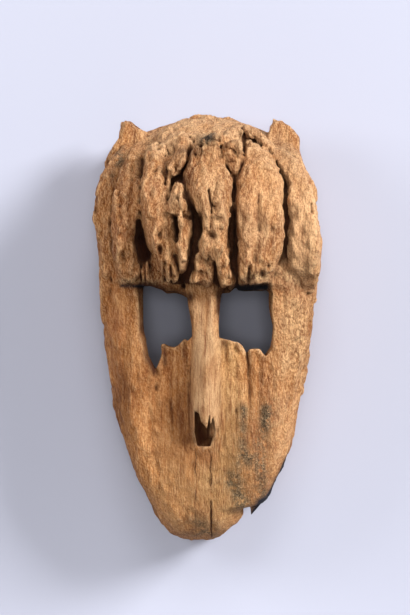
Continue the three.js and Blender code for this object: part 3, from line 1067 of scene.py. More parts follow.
class Stain(Enum):
    """Kinds of stain and of painted light and shade, each with its patches."""

    LICHEN = (
        Smear(((50, -70), (50, -98)), 6, 1.0), Smear(((34, -118), (30, -150)), 8, 1.2),
        Smear(((31, -70), (30, -116)), 4.5, 1.0), Smear(((44, -100), (47, -146)), 8, 0.9),
        Smear(((20, -132), (42, -152)), 8, 1.0),
        Blot((-10, -172), (13, 8), 0.9), Blot((-1, -182), (15, 6), 0.8), Blot((-78, 151), (6, 10), 0.9),
        Blot((-84, 132), (5, 9), 0.6), Blot((0, 165), (10, 6), 0.6), Blot((66, 152), (8, 10), 0.3),
        Blot((-54, 150), (9, 7), 0.3), Blot((-1, 162), (5, 4.5), 1.3),
    )
    # char and dark patina on the knot and the board over the right eye; also painted shade along the
    # underside of the brow over the left eye and on the shaded side wall beside the chip and the splinter
    CHAR = (
        Smear(((-76, 38), (-56, 37)), 1.6, 1.0), Smear(((25.5, 35), (50, 36.5)), 3.4, 1.3),
        Blot((1, 163), (4.5, 3), 0.6),
        Smear(((70.5, -117), (64, -131), (57, -144), (49, -157), (42, -167)), 3.3, 1.5),
        Smear(((40.5, -168), (47, -153)), 4.5, 1.3),
    )
    # painted shadow: dark brown put under the brow's lower edge over the eyes, along the shaded inner edge of
    # the left stile, as the shadow the lobes cast on the nose's right side, along the nose's left foot and
    # round its end, in pits, in the cheek crease and under the right band
    PAINTED_SHADOW = (
        Smear(((-57, 36.5), (-40, 34), (-30, 31.5), (-17, 28)), 4.5, 1.3),
        Smear(((10, 31), (25, 35)), 3.5, 1.2), Smear(((-56.5, 34), (-56.8, -8)), 3.4, 1.2),
        Smear(((-56, -8), (-53, -24), (-46.5, -37)), 2.6, 0.7), Smear(((9, 33), (9, 14)), 2.6, 0.7),
        Smear(((-7, -99), (-7, -84)), 3.2, 1.0), Blot((-2, -96), (4, 5), 0.7), Blot((-10, -76), (2, 6), 0.8),
        Smear(((-38, -15), (-37, -30)), 2.2, 0.7), Smear(((-21, -10), (-21, -24)), 2.0, 0.7),
        Blot((14, -12), (4, 5), 0.6), Smear(((36.5, -22), (38, -36)), 2.4, 0.5),
        Blot((3.5, 79.5), (3, 3.5), 0.9), Blot((32, 43), (6, 3), 0.7),
        Smear(((33.8, -19), (34.2, -25), (35.4, -33), (35.0, -40)), 1.1, 0.9),
        Smear(((35.4, -40), (36.5, -62)), 1.0, 0.4), Smear(((-58, 80), (-54, 62)), 4.0, 0.9),
        Smear(((-18.5, -14), (-17, -60), (-16, -98)), 0.9, 0.6),
        Blot((78, 36), (14, 4), 0.2), Blot((-19, 46), (4, 7), 0.7),
    )
    # rust-red stains, and on the left stile and the left brow a painted shade: warmer, deeper colour on the
    # side away from the light
    RUST_AND_SHADE = (
        Blot((-4, -110), (11, 7)), Smear(((41, -86), (45, -120), (48, -140)), 5, 0.8),
        Blot((-80, -10), (9, 60), 0.5), Blot((-72, 90), (14, 40), 0.4), Smear(((2, -92), (4, -84)), 3, 0.8),
        Blot((30, 60), (14, 20), 0.2), Blot((76, 36), (24, 8), 0.9), Blot((-46, 104), (12, 20), 0.5),
        Blot((-52, 52), (6, 14), 0.5), Blot((24, 112), (5, 12), 0.4),
    )
    # painted light, with some pale bleached wood: the right side, the right band and the crown lightened
    # where the light falls, the nose's crest highlight and lit facets, a lit rim of the right cheek, and pale
    # crumbly edges along the brow's lower edge
    PAINTED_LIGHT_AND_BLEACH = (
        Blot((4, -46), (7, 44), 0.7), Blot((-27, 112), (8, 12), 0.6), Blot((-22, 62), (4, 14), 0.4),
        Smear(((3.2, 27), (2.8, 5), (0.6, -14), (-0.8, -30)), 1.6, 1.0),
        Smear(((5, -12), (4.5, -80)), 4.5, 1.0), Smear(((-8.5, 20), (-9, -70)), 5, 0.8),
        Blot((22, -60), (13, 50), 0.4), Blot((0, -150), (42, 40), 0.35),
        Smear(((24, -11), (30, -16), (33, -21)), 1.5, 1.0), Smear(((44, -17), (49, -24)), 1.5, 0.8),
        Smear(((-55, 40.5), (-44, 40)), 1.8, 1.0), Smear(((-76, 41), (-66, 41.5)), 1.6, 0.8),
        Smear(((28, 42), (50, 43)), 1.8, 0.7), Smear(((-38, 41), (-30, 40)), 1.5, 0.8),
        Smear(((84, 50), (84, 110), (76, 140)), 16, 1.2), Smear(((74, 30), (72, -50), (60, -100)), 18, 0.4),
        Smear(((-40, 172), (0, 180), (50, 168)), 18, 1.2), Blot((44, 100), (22, 44), 0.8),
        Blot((0, 95), (16, 56), 0.6), Blot((-40, 120), (18, 40), 0.3),
    )
    CRUMB = (
        Smear(((-79, 41.5), (-62, 42)), 2.0, 0.7), Smear(((-58, 41), (-44, 40)), 1.8, 1.0),
        Smear(((-40, 42), (-26, 41)), 2.0, 0.8), Smear(((8, 40), (19, 40)), 2.5, 0.5),
        Smear(((27, 44), (50, 45)), 3.4, 0.8), Blot((76, 43), (20, 6), 0.3), Blot((80, -4), (20, 48), 0.45),
    )
    SLEEK = (
        Smear(((-2, 24), (-4, -92)), 9, 1.0), Smear(((-80, 26), (-76, -90)), 14, 0.6),
        Blot((0, -80), (66, 62), 1.0), Blot((0, -150), (48, 40), 0.8), Blot((44, 104), (20, 44), 0.4),
        Blot((84, 92), (16, 46), 0.4),
    )
    # painted shade: the left cheek and the left stile darkened as the side that faces away from the light
    PAINTED_SHADE = (Smear(((-44, -30), (-36, -100)), 20, 0.9), Smear(((-76, 24), (-74, -80)), 14, 0.3))
    OCHRE = (Smear(((19, -22), (22, -70), (18, -150)), 13, 1.0), Blot((-6, -146), (40, 34), 0.8))

    def over(self, x: Array, y: Array) -> Array:
        """Strength of this stain over the face, at most 1."""
        return np.minimum(sum(patch.over(x, y) for patch in self.value), 1).astype(np.float32)


def linear(colour: Colour) -> Row:
    """A colour of the screen as the linear light that the shader takes, by the screen's own curve.

    Args:
        colour: Red, green and blue, 0 to 255.

    Returns:
        The linear colour with full cover.
    """
    value = np.array(colour) / 255
    light = np.where(value <= 0.04045, value / 12.92, ((value + 0.055) / 1.055) ** 2.4)
    return (*light.tolist(), 1.0)


class Bench:
    """Sets out the nodes of one material."""

    def __init__(self, name: str) -> None:
        """Starts an empty material.

        Args:
            name: The material's name.
        """
        self.material = bpy.data.materials.new(name)
        self.material.use_nodes = True
        self.tree = self.material.node_tree
        self.tree.nodes.clear()
        self.place = self.tree.nodes.new("ShaderNodeTexCoord").outputs["Object"]

    def node(self, kind: str, **inputs: object) -> bpy.types.Node:
        """Adds a node and fills its named inputs, by a link where the value is a socket.

        Args:
            kind: The node's type.
            inputs: A value or a socket for each named input.

        Returns:
            The node.
        """
        node = self.tree.nodes.new(kind)
        for name, value in inputs.items():
            self.fill(node.inputs[name.replace("_", " ")], value)
        return node

    def fill(self, socket: bpy.types.NodeSocket, value: object) -> None:
        """Links a socket to another, or sets its value.

        Args:
            socket: The socket to fill.
            value: A socket to link it to, or a plain value.
        """
        if isinstance(value, bpy.types.NodeSocket):
            self.tree.links.new(value, socket)
        else:
            socket.default_value = value

    def noise(self, cells: Row, detail: float = 3.0, roughness: float = 0.55,
              shift: Row = (0.0, 0.0, 0.0)) -> bpy.types.NodeSocket:
        """Noise over cells that are long along Y for fibres.

        Args:
            cells: Size of the cells along each axis, in millimetres.
            detail: How many finer layers it has.
            roughness: How strong they are.
            shift: How far it is moved, in millimetres.

        Returns:
            The noise, mostly between 0.3 and 0.7.
        """
        stretch = self.node("ShaderNodeMapping", Vector=self.place, Scale=tuple(1000 / c for c in cells),
                            Location=tuple(s / c for s, c in zip(shift, cells)))
        noise = self.node("ShaderNodeTexNoise", Vector=stretch.outputs["Vector"], Scale=1.0, Detail=detail,
                          Roughness=roughness)
        return noise.outputs["Fac"]

    def shaded_side(self, cells: Row, shift: Row, detail: float) -> bpy.types.NodeSocket:
        """Painted light and shade of small grains lit from the shift's way: under 0.5 on the side away from
        the shift.

        It is how much the noise falls over the shift, three times over, added to 0.5.

        Args:
            cells: Size of the grains along each axis, in millimetres.
            shift: Which way and how far to look.
            detail: How many finer layers the noise has.

        Returns:
            The side.
        """
        fall = self.maths("SUBTRACT", self.noise(cells, detail), self.noise(cells, detail, shift=shift))
        return self.maths("ADD", self.maths("MULTIPLY", fall, 3.0), 0.5)

    def attribute(self, name: str) -> bpy.types.NodeSocket:
        """A value that the mesh carries at each point.

        Args:
            name: The value's name.

        Returns:
            The value.
        """
        node = self.tree.nodes.new("ShaderNodeAttribute")
        node.attribute_name = name
        return node.outputs["Fac"]

    def maths(self, operation: str, a: object, b: object = 0.0, held: bool = False) -> bpy.types.NodeSocket:
        """One step of arithmetic.

        Args:
            operation: Blender's name for it.
            a: First value or socket.
            b: Second value or socket.
            held: Whether the result is held between 0 and 1.

        Returns:
            The result.
        """
        node = self.tree.nodes.new("ShaderNodeMath")
        node.operation, node.use_clamp = operation, held
        self.fill(node.inputs[0], a)
        self.fill(node.inputs[1], b)
        return node.outputs[0]

    def blend(self, share: object, a: object, b: object) -> bpy.types.NodeSocket:
        """Value b over value a by a share: a + (b - a) share."""
        return self.maths("ADD", a, self.maths("MULTIPLY", self.maths("SUBTRACT", b, a), share))

    def product(self, *values: object) -> bpy.types.NodeSocket:
        """All the values multiplied, from the left."""
        return reduce(lambda a, b: self.maths("MULTIPLY", a, b), values)

    def less(self, value: bpy.types.NodeSocket) -> bpy.types.NodeSocket:
        """1 less the value."""
        return self.maths("SUBTRACT", 1.0, value)

    def between(self, value: bpy.types.NodeSocket, low: float, high: float) -> bpy.types.NodeSocket:
        """Rises from 0 at low to 1 at high with flat ends.

        Args:
            value: The value.
            low: Where it is 0.
            high: Where it is 1.

        Returns:
            The share, held between 0 and 1.
        """
        node = self.node("ShaderNodeMapRange", Value=value, From_Min=low, From_Max=high)
        node.interpolation_type = "SMOOTHSTEP"
        return node.outputs["Result"]

    def mix(self, share: object, a: object, b: object, mode: str = "MIX") -> bpy.types.NodeSocket:
        """Colour b over colour a by a share.

        Args:
            share: How much of b shows.
            a: Colour below.
            b: Colour above.
            mode: How b is laid on a.

        Returns:
            The colour.
        """
        node = self.tree.nodes.new("ShaderNodeMix")
        node.data_type, node.blend_type = "RGBA", mode
        for number, value in ((0, share), (6, a), (7, b)):
            self.fill(node.inputs[number], value)
        return node.outputs[2]

    def ramp(self, value: bpy.types.NodeSocket, *stops: tuple[float, Colour]) -> bpy.types.NodeSocket:
        """Colours along a value.

        Args:
            value: The value.
            stops: Places on it, each with its colour.

        Returns:
            The colour.
        """
        node = self.node("ShaderNodeValToRGB", Fac=value)
        band = node.color_ramp.elements
        while len(band) < len(stops):
            band.new(0.5)
        for element, (at, colour) in zip(band, stops):
            element.position, element.color = at, linear(colour)
        return node.outputs["Color"]

    def finish(self, colour: object, roughness: object, normal: object, gloss: float) -> bpy.types.Material:
        """Ends in one shader and gives the material.

        Args:
            colour: Colour of the surface.
            roughness: Roughness of the surface.
            normal: Bumped normal, or None.
            gloss: Specular level, the same all over.

        Returns:
            The material.
        """
        shader = self.node("ShaderNodeBsdfPrincipled", Base_Color=colour, Roughness=roughness)
        shader.inputs["Specular IOR Level"].default_value = gloss
        if normal is not None:
            self.fill(shader.inputs["Normal"], normal)
        out = self.tree.nodes.new("ShaderNodeOutputMaterial")
        self.tree.links.new(shader.outputs["BSDF"], out.inputs["Surface"])
        return self.material


@dataclass(frozen=True)
class Crack:
    """A hairline crack along the face, too thin for the mesh: its ends in millimetres and half width.

    It sways to the sides. It fades at its edges between two shares of the half width, at its tips from a
    little past its ends to a little inside them, and towards the back.
    """

    start: Point
    end: Point
    width: float
    depth: float = 1.0
    sway: float = 4.0
    edge: Point = (0.5, 1.3)
    tip: Point = (1.0, 3.0)
    front: Point = (20.0, 40.0)

    def share(self, bench: Bench) -> bpy.types.NodeSocket:
        """How much of the crack is at each place: within the width of its line and between its ends.

        Args:
            bench: The bench that it is set out on.

        Returns:
            The share of the crack.
        """
        split = bench.node("ShaderNodeSeparateXYZ", Vector=bench.place)
        x, y, z = (split.outputs[axis] for axis in "XYZ")
        (start_x, start_y), (end_x, end_y) = self.start, self.end
        low, high = sorted((start_y * MM, end_y * MM))
        lean = (end_x - start_x) / (end_y - start_y)
        sway = bench.product(bench.maths("SUBTRACT", bench.noise((900, 9, 900), 2), 0.5), self.sway * MM)
        line = bench.product(bench.maths("SUBTRACT", y, start_y * MM), lean)
        off = bench.maths("SUBTRACT", bench.maths("SUBTRACT", x, start_x * MM), line)
        off = bench.maths("ABSOLUTE", bench.maths("ADD", off, sway))
        near = bench.less(bench.between(off, *(share * self.width * MM for share in self.edge)))
        past, within = (part * MM for part in self.tip)
        begun = bench.between(y, low - past, low + within)
        ended = bench.between(y, high - within, high + past)
        front = bench.between(z, *(level * MM for level in self.front))
        return bench.product(near, begun, bench.less(ended), front, self.depth)


CRACKS = (
    Crack((-10.8, -104), (-10.6, -190), 0.3, 0.45),
    Crack((-10.8, -106), (-10.6, -128), 0.4, 0.9),
    Crack((-10.6, -140), (-10.6, -151), 0.4, 0.9),
    Crack((2.2, -108), (3.0, -138), 0.4, 0.95),
    Crack((3.0, -152), (3.2, -188), 0.5, 1.0),
)


class Patterns:
    """The patterns that the wood is drawn with. Cells are millimetres."""

    def __init__(self, bench: Bench) -> None:
        """Sets them out.

        Args:
            bench: The bench that they are set out on.
        """
        self.sleek = bench.attribute("sleek")
        self.coarse = bench.less(bench.product(self.sleek, 0.7))
        self.blotch = bench.noise((30, 50, 30), 4)
        self.band = bench.noise((5, 60, 6), 3, 0.6)
        self.grain = bench.noise((1.8, 2.9, 2.0), 5, 0.75)
        self.speck = bench.noise((1.1, 1.8, 1.1), 2, 0.7)
        self.crumb = bench.noise((2.4, 3.2, 2.4), 2, 0.6)
        self.clump = bench.noise((5, 8, 5), 5, 0.8)
        self.seam = bench.noise((1.7, 30, 3), 2, 0.5)
        # chips and flakes give the lit and the shaded sides of small grains, for painted light and shade
        self.chips = bench.shaded_side((1.5, 2.6, 1.6), (0.8, 0.5, 0.5), 3)
        self.flakes = bench.shaded_side((4.4, 9.5, 5.0), (1.8, 1.1, 1.1), 2)
        short, long = bench.noise((1.3, 7.5, 2.0), 4, 0.7), bench.noise((1.1, 18, 2.0), 3, 0.65)
        hair = bench.blend(self.sleek, short, long)
        self.fibre = bench.blend(bench.maths("ADD", bench.product(self.sleek, 0.32), 0.4), self.grain, hair)


@dataclass(frozen=True)
class WeatheredWood:
    """Dry old wood: fibres, pale ridges of painted highlight, painted shade in the grooves in the dark brown
    of rot, and stains, some of them painted light and shade.
    """

    bump: float = 7.5
    dark: Colour = (150, 88, 42)
    tan: Colour = (190, 126, 68)
    pale: Colour = (216, 156, 98)
    # worn: pale worn wood where lichen leaves it bare; also the painted highlight on ridges and on the lit
    # sides of chips and flakes
    worn: Colour = (248, 202, 150)
    # lit_and_bleached: the colour of the painted light and of bleached wood
    lit_and_bleached: Colour = (254, 208, 156)
    shade: Colour = (154, 92, 48)
    dull: Colour = (214, 212, 212)
    chalk: Colour = (238, 196, 142)
    # rot: dark brown of rot in cracks and crumbled gaps; also the colour of the painted shade in grooves and
    # crevices and of the painted shadow
    rot: Colour = (62, 25, 5)
    grit: Colour = (104, 58, 28)
    lichen: Colour = (120, 101, 76)
    mould: Colour = (54, 43, 32)
    # char: blue-black of char and patina, also the painted shade of shaded walls
    char: Colour = (32, 31, 40)
    # rust_and_shade: rust-red of stains, also the painted warmer shade of the left side
    rust_and_shade: Colour = (184, 98, 54)
    ochre: Colour = (206, 162, 98)
    # painted_shade: multiplied over the left side as its painted shade
    painted_shade: Colour = (208, 198, 188)

    def material(self) -> bpy.types.Material:
        """Lays the colours over each other and bumps the surface.

        Returns:
            The material.
        """
        bench = Bench("weathered_wood")
        pattern = Patterns(bench)
        colour = self.ground(bench, pattern)
        colour = self.weathered(bench, pattern, colour)
        colour = self.stained(bench, pattern, colour)
        for crack in CRACKS:
            colour = bench.mix(crack.share(bench), colour, linear(self.rot))
        relief = bench.maths("ADD", pattern.fibre, bench.product(pattern.speck, 0.26))
        relief = bench.product(relief, bench.maths("ADD", bench.product(pattern.coarse, 0.6), 0.4))
        bump = bench.node("ShaderNodeBump", Strength=1.0, Distance=self.bump * MM, Height=relief)
        rough = bench.maths("ADD", bench.product(pattern.grain, 0.25), 0.72)
        return bench.finish(colour, rough, bump.outputs["Normal"], 0.2)

    def ground(self, bench: Bench, pattern: Patterns) -> bpy.types.NodeSocket:
        """Colour of the dry wood, with its places of painted light and of bleached wood, its ochre places,
        and its rusty places that also carry the painted warmer shade of the left side.

        Args:
            bench: The bench.
            pattern: The wood's patterns.

        Returns:
            The colour.
        """
        tone = bench.maths("ADD", bench.product(pattern.blotch, 0.6), bench.product(pattern.band, 0.4))
        colour = bench.ramp(tone, (0.38, self.dark), (0.5, self.tan), (0.62, self.pale))
        # painted light on the lit side, the crown and the nose, with some pale bleached wood, broken up by
        # the blotches
        pale = bench.product(bench.attribute("painted_light_and_bleach"), bench.between(pattern.blotch, 0.2, 0.5), 0.75)
        colour = bench.mix(pale, colour, linear(self.lit_and_bleached))
        colour = bench.mix(bench.product(bench.attribute("ochre"), 0.45), colour, linear(self.ochre))
        # rust-red stains, and the painted warmer shade of the left side
        rust_and_shade = bench.product(bench.attribute("rust_and_shade"), bench.between(pattern.blotch, 0.3, 0.62), 0.6)
        return bench.mix(rust_and_shade, colour, linear(self.rust_and_shade))

    def weathered(self, bench: Bench, pattern: Patterns,
                  colour: bpy.types.NodeSocket) -> bpy.types.NodeSocket:
        """Painted highlight on ridges, painted shade in hollows, painted light and shade on the two sides of
        chips and flakes, the painted shade of the left side, and seams where it is sleek.

        Args:
            bench: The bench.
            pattern: The wood's patterns.
            colour: The colour so far.

        Returns:
            The colour.
        """
        # painted highlight: ridges and high fibres lightened towards the worn colour
        ridge = bench.maths("ADD", bench.attribute("ridge"), bench.between(pattern.fibre, 0.5, 0.64))
        colour = bench.mix(bench.maths("MULTIPLY", ridge, 0.4, True), colour, linear(self.worn))
        # painted shade: low fibres darkened
        low = bench.ramp(pattern.fibre, (0.38, self.shade), (0.5, WHITE))
        colour = bench.mix(0.42, colour, low, "MULTIPLY")
        # painted light and shade on the small grains: the side turned from the light darkened, the side
        # turned to it lightened
        for side, most in ((pattern.flakes, 0.3), (pattern.chips, 0.45)):
            shaded_side = bench.ramp(side, (0.15, self.shade), (0.55, WHITE))
            colour = bench.mix(bench.product(pattern.coarse, most), colour, shaded_side, "MULTIPLY")
            lit_side = bench.product(bench.between(side, 0.5, 0.9), pattern.coarse, 0.6 * most)
            colour = bench.mix(lit_side, colour, linear(self.worn))
        colour = bench.mix(bench.between(pattern.sleek, 0.4, 1.0), colour, linear(self.dull), "MULTIPLY")
        # painted shade of the left side, which faces away from the light
        colour = bench.mix(bench.attribute("painted_shade"), colour, linear(self.painted_shade), "MULTIPLY")
        seams = bench.product(bench.between(pattern.seam, 0.57, 0.68), pattern.sleek, 0.55)
        colour = bench.mix(seams, colour, linear(self.shade), "MULTIPLY")
        dots = bench.product(bench.between(pattern.speck, 0.6, 0.7), 0.45)
        return bench.mix(dots, colour, linear(self.grit))

    def stained(self, bench: Bench, pattern: Patterns, colour: bpy.types.NodeSocket) -> bpy.types.NodeSocket:
        """Crumbled edges, lichen, painted shade in grooves, painted shadow, and char with painted shade, each
        by its own value of the mesh.

        Args:
            bench: The bench.
            pattern: The wood's patterns.
            colour: The colour so far.

        Returns:
            The colour.
        """
        lichen = bench.mix(bench.between(pattern.speck, 0.42, 0.6), linear(self.lichen), linear(self.mould))
        bare = bench.product(bench.between(pattern.grain, 0.54, 0.66), 0.5)
        lichen = bench.mix(bare, lichen, linear(self.worn))
        broken = bench.mix(bench.between(pattern.crumb, 0.44, 0.54), linear(self.rot), linear(self.chalk))
        colour = bench.mix(bench.product(bench.attribute("crumb"), 0.62), colour, broken)
        for name, tint, texture, start, end, most in (
            ("lichen", lichen, pattern.clump, 0.34, 0.54, 0.95),
            # painted shade in grooves, cracks and crevices, in the rot colour
            ("groove", linear(self.rot), pattern.fibre, 0.15, 0.45, 0.94),
            # painted shadow, in the rot colour
            ("painted_shadow", linear(self.rot), pattern.fibre, 0.2, 0.5, 0.95),
            # char, and painted shade on shaded walls
            ("char", linear(self.char), pattern.fibre, 0.2, 0.42, 1.0),
        ):
            share = bench.product(bench.attribute(name), bench.between(texture, start, end), most)
            colour = bench.mix(share, colour, tint)
        return colour


@dataclass(frozen=True)
class Paper:
    """The plain pale paper of the floor."""

    colour: Colour = (170, 172, 187)

    def material(self) -> bpy.types.Material:
        """A matt surface with a little tooth.

        Returns:
            The material.
        """
        bench = Bench("floor_paper")
        rough = bench.maths("ADD", bench.product(bench.noise((3, 3, 3), 2), 0.1), 0.8)
        return bench.finish(linear(self.colour), rough, None, 0.15)


@dataclass(frozen=True)
class Blends:
    """How far the forms are rounded into each other, in millimetres."""

    splinter: float = 0.5
    brow: float = 3.0
    lobe: float = 1.2
    nose: float = 1.4
    ear: float = 3.0
    rot: float = 1.0
    eye: float = 0.7
    hollow: float = 1.5


@dataclass
class Mask:
    """The whole mask as one piece of wood."""

    lattice: Lattice = field(default_factory=Lattice)
    hood: Hood = field(default_factory=Hood)
    brow: Brow = field(default_factory=Brow)
    nose: Nose = field(default_factory=Nose)
    ears: Ears = field(default_factory=Ears)
    eyes: tuple[Eye, ...] = (LEFT_EYE, RIGHT_EYE)
    carving: Carving = field(default_factory=Carving)
    weathering: Weathering = field(default_factory=Weathering)
    blends: Blends = field(default_factory=Blends)
    finish: WeatheredWood = field(default_factory=WeatheredWood)
    most_triangles: int = 194000
    crevice_reach: int = 11
    least_wall: float = 6.0
    plate_level: float = 110.0
    carved_out: Point = (60.0, 100.0)
    brow_rag: float = 1.5
    broken: Grain = Grain(34, (8, 11, 8))
    ragged: Grain = Grain(36, (18, 20, 16))
    # how far the stains swing with the fields above, and the places at which each kind begins and is whole
    stain_swing: float = 0.3
    char_and_shade_swing: Point = (7.0, 9.0)
    char_and_shade_out: Point = (25.0, 46.0)
    front_out: Point = (20.0, 60.0)
    crevice: Point = (4.5, 15.0)
    crevice_out: Point = (96.0, 108.0)
    crevice_along: Point = (150.0, 138.0)
    # shares of wood within a near and a wide reach, in a groove and on a ridge
    reaches: Point = (2.0, 5.0)
    near_groove: Point = (0.57, 0.78)
    wide_groove: Point = (0.6, 0.82)
    near_ridge: Point = (0.47, 0.34)
    # how sleek the sides are, where they end, and the crown that is left out of them
    side_sleek: float = 0.8
    side_out: Point = (40.0, 90.0)
    crown_along: Point = (128.0, 150.0)
    crown_out: Point = (12.0, 36.0)

    def field_of_distances(self) -> Array:
        """The worn wood over the lattice. However deep the wear, a thin wall is left.

        Returns:
            The field, negative inside.
        """
        grid, wear, blends = self.lattice, self.weathering, self.blends
        x, y, z = (grid.axis(k) for k in range(3))
        wx, wz = wear.warped(grid, x, z)
        wz = wz + self.carving.depth(self.wobbled(wx), y) * smooth_step(z, *self.carved_out)
        rag = wear.rag.on(grid)
        shell = join(self.hood.outside(wx, y, wz), self.hood.spike(x, y, z), blends.splinter)
        wood = join(shell, self.brow.block(wx, y, wz, self.brow_rag * rag), blends.brow)
        for lobe in self.brow.lobes:
            box = grid.window(*self.brow.lobe_box(lobe))
            part = self.brow.lobe(lobe, self.hood, wx[box], y[:, box[1]], wz[box], rag[box])
            wood[box] = join(wood[box], part, blends.lobe)
        box = grid.window(*self.nose.box)
        halfway = (x[box[0]] + wx[box]) / 2
        part = self.nose.solid(halfway, y[:, box[1]], wz[box])
        wood[box] = join(wood[box], part, blends.nose)
        for rows in (self.ears.left, self.ears.right):
            wood = join(wood, self.ears.solid(rows, wx, y, wz, rag), blends.ear)
        wood += wear.worn(grid, x, y, z)
        hollow = self.hood.hollow(x, y, z) + wear.inside.waves(grid, 1.0)
        wood = np.minimum(wood, hollow - self.least_wall)
        wood = cut(wood, self.nose.decay(x, y, z, rag), blends.rot)
        for eye in self.eyes:
            box = grid.window(*eye.box())
            hole = eye.hole(x[box[0]], y[:, box[1]], z[:, :, box[2]], rag[box])
            wood[box] = cut(wood[box], hole, blends.eye)
        return np.maximum(cut(wood, hollow, blends.hollow), -z)

    def wobbled(self, wx: Array) -> Array:
        """Places across the face as they are shifted at the level of the plate."""
        level = int((self.plate_level - self.lattice.low[2]) / self.lattice.step[2])
        return wx[:, :, level, None]

    def sunk(self, solid: Array, points: Array) -> Array:
        """How far each point lies down a crevice of the front.

        The front's height over the face is raised to the highest within reach to the left and right,
        and what comes of it is lowered to the lowest within reach. Only crevices are filled by that.

        Args:
            solid: 1 where there is wood on the lattice and 0 elsewhere.
            points: Points of the mesh.

        Returns:
            The filled height less the point's own, in millimetres.
        """
        grid = self.lattice
        top = grid.shape[2] - 1 - np.argmax(solid[:, :, ::-1], axis=2)
        level = np.where(solid.any(axis=2), grid.low[2] + grid.step[2] * top, 0).astype(np.float32)
        reach = range(-self.crevice_reach, self.crevice_reach + 1)
        for best in (np.maximum, np.minimum):
            level = best.reduce([np.roll(level, k, axis=0) for k in reach])
        column = ((points[:, :2] - grid.low[:2]) / grid.step[:2]).round().astype(int)
        column = np.clip(column, 0, np.array(grid.shape[:2]) - 1)
        return level[column[:, 0], column[:, 1]] - points[:, 2]

    def build(self) -> bpy.types.Object:
        """Draws the skin, thins it, marks its grooves, stains and painted light and shade, and dresses it.

        Returns:
            The finished piece.
        """
        values = self.field_of_distances()
        skin = Skin(values, self.lattice)
        LOG.info("skin of %d points and %d faces", len(skin.points), len(skin.faces))
        piece = self.thinned(skin)
        points = self.points_of(piece.data)
        self.mark_grooves(piece.data, points, (values < 0).astype(np.float32))
        self.mark_stains(piece.data, points)
        piece.data.materials.append(self.finish.material())
        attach(piece, "root")
        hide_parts("mask")
        LOG.info("mask: %d faces", len(piece.data.polygons))
        return piece

    def mark_grooves(self, mesh: bpy.types.Mesh, points: Array, solid: Array) -> None:
        """Marks where the mesh lies in a groove, a crack or a crevice, where painted shade goes, and where it
        stands up in a ridge, where painted highlight goes.

        Args:
            mesh: The mesh.
            points: Its points in millimetres.
            solid: 1 where there is wood on the lattice and 0 elsewhere.
        """
        grid = self.lattice
        near, wide = (grid.sample(spread(solid, grid, reach), points) for reach in self.reaches)
        # groove: where the painted shade of grooves, open cracks and crevices goes
        groove = np.maximum(smooth_step(near, *self.near_groove), smooth_step(wide, *self.wide_groove))
        cracks = self.carving.open_cracks(points[:, 0], points[:, 1])
        cracks = cracks * smooth_step(points[:, 2], *self.front_out)
        # down: crevices of the brow deep enough to be painted dark as shade
        down = smooth_step(self.sunk(solid, points), *self.crevice)
        down *= smooth_step(points[:, 2], *self.crevice_out) * smooth_step(points[:, 1], *self.crevice_along)
        self.mark(mesh, "groove", np.maximum(np.maximum(groove, cracks), down))
        # ridge: where the painted highlight of raised places goes
        self.mark(mesh, "ridge", smooth_step(near, *self.near_ridge))

    def mark_stains(self, mesh: bpy.types.Mesh, points: Array) -> None:
        """Marks how much of each stain and each painted light and shade the mesh has, with broken edges, and
        only sleek wood past the front.

        Args:
            mesh: The mesh.
            points: Its points in millimetres.
        """
        grid = self.lattice
        broken, ragged = (grid.sample(grain.on(grid), points) for grain in (self.broken, self.ragged))
        front = smooth_step(points[:, 2], *self.front_out)
        swing = self.char_and_shade_swing[0] * broken + self.char_and_shade_swing[1] * ragged
        # the char and its painted shade fade towards the back of the walls
        char_and_shade_share = smooth_step(points[:, 2] + swing, *self.char_and_shade_out)
        for stain in Stain:
            strength = stain.over(points[:, 0], points[:, 1]) * (char_and_shade_share if stain is Stain.CHAR else front)
            if stain is Stain.SLEEK:
                strength = np.maximum(strength, self.sides(points))
            elif stain is not Stain.CHAR:
                strength = np.clip(strength * (1 + self.stain_swing * broken), 0, 1)
            self.mark(mesh, stain.name.lower(), strength)

    def sides(self, points: Array) -> Array:
        """How much each point belongs to the sides and the hollow, whose long fibres the rot has left."""
        crown = smooth_step(points[:, 1], *self.crown_along) * smooth_step(points[:, 2], *self.crown_out)
        return self.side_sleek * (1 - smooth_step(points[:, 2], *self.side_out)) * (1 - crown)

    def thinned(self, skin: Skin) -> bpy.types.Object:
        """Makes the mesh and takes it down to the most triangles it may have.

        Args:
            skin: The surface.

        Returns:
            An object with the finished mesh and no modifier.
        """
        draft = bpy.data.meshes.new("mask_draft")
        draft.vertices.add(len(skin.points))
        draft.vertices.foreach_set("co", (skin.points * MM).astype(np.float32).ravel())
        draft.loops.add(skin.faces.size)
        draft.loops.foreach_set("vertex_index", skin.faces.astype(np.int32).ravel())
        draft.polygons.add(len(skin.faces))
        draft.polygons.foreach_set("loop_start", np.arange(0, skin.faces.size, 4, dtype=np.int32))
        draft.update(calc_edges=True)
        draft.validate()
        shape = bpy.data.objects.new("mask_draft", draft)
        bpy.context.scene.collection.objects.link(shape)
        thin = shape.modifiers.new("thin", "DECIMATE")
        thin.ratio = min(1.0, self.most_triangles / (2 * len(skin.faces)))
        mesh = bpy.data.meshes.new_from_object(shape.evaluated_get(bpy.context.evaluated_depsgraph_get()))
        bpy.data.objects.remove(shape)
        bpy.data.meshes.remove(draft)
        mesh.name = "mask_wood"
        mesh.shade_smooth()
        piece = bpy.data.objects.new("mask_wood", mesh)
        bpy.context.scene.collection.objects.link(piece)
        return piece

    @staticmethod
    def points_of(mesh: bpy.types.Mesh) -> Array:
        """Places of a mesh's points.

        Args:
            mesh: The mesh.

        Returns:
            The places in millimetres, three numbers a row.
        """
        flat = np.empty(3 * len(mesh.vertices), dtype=np.float32)
        mesh.vertices.foreach_get("co", flat)
        return flat.reshape(-1, 3) / MM

    @staticmethod
    def mark(mesh: bpy.types.Mesh, name: str, values: Array) -> None:
        """Gives each point of a mesh a named value for the finish to read."""
        mesh.attributes.new(name, "FLOAT", "POINT").data.foreach_set("value", values.astype(np.float32))


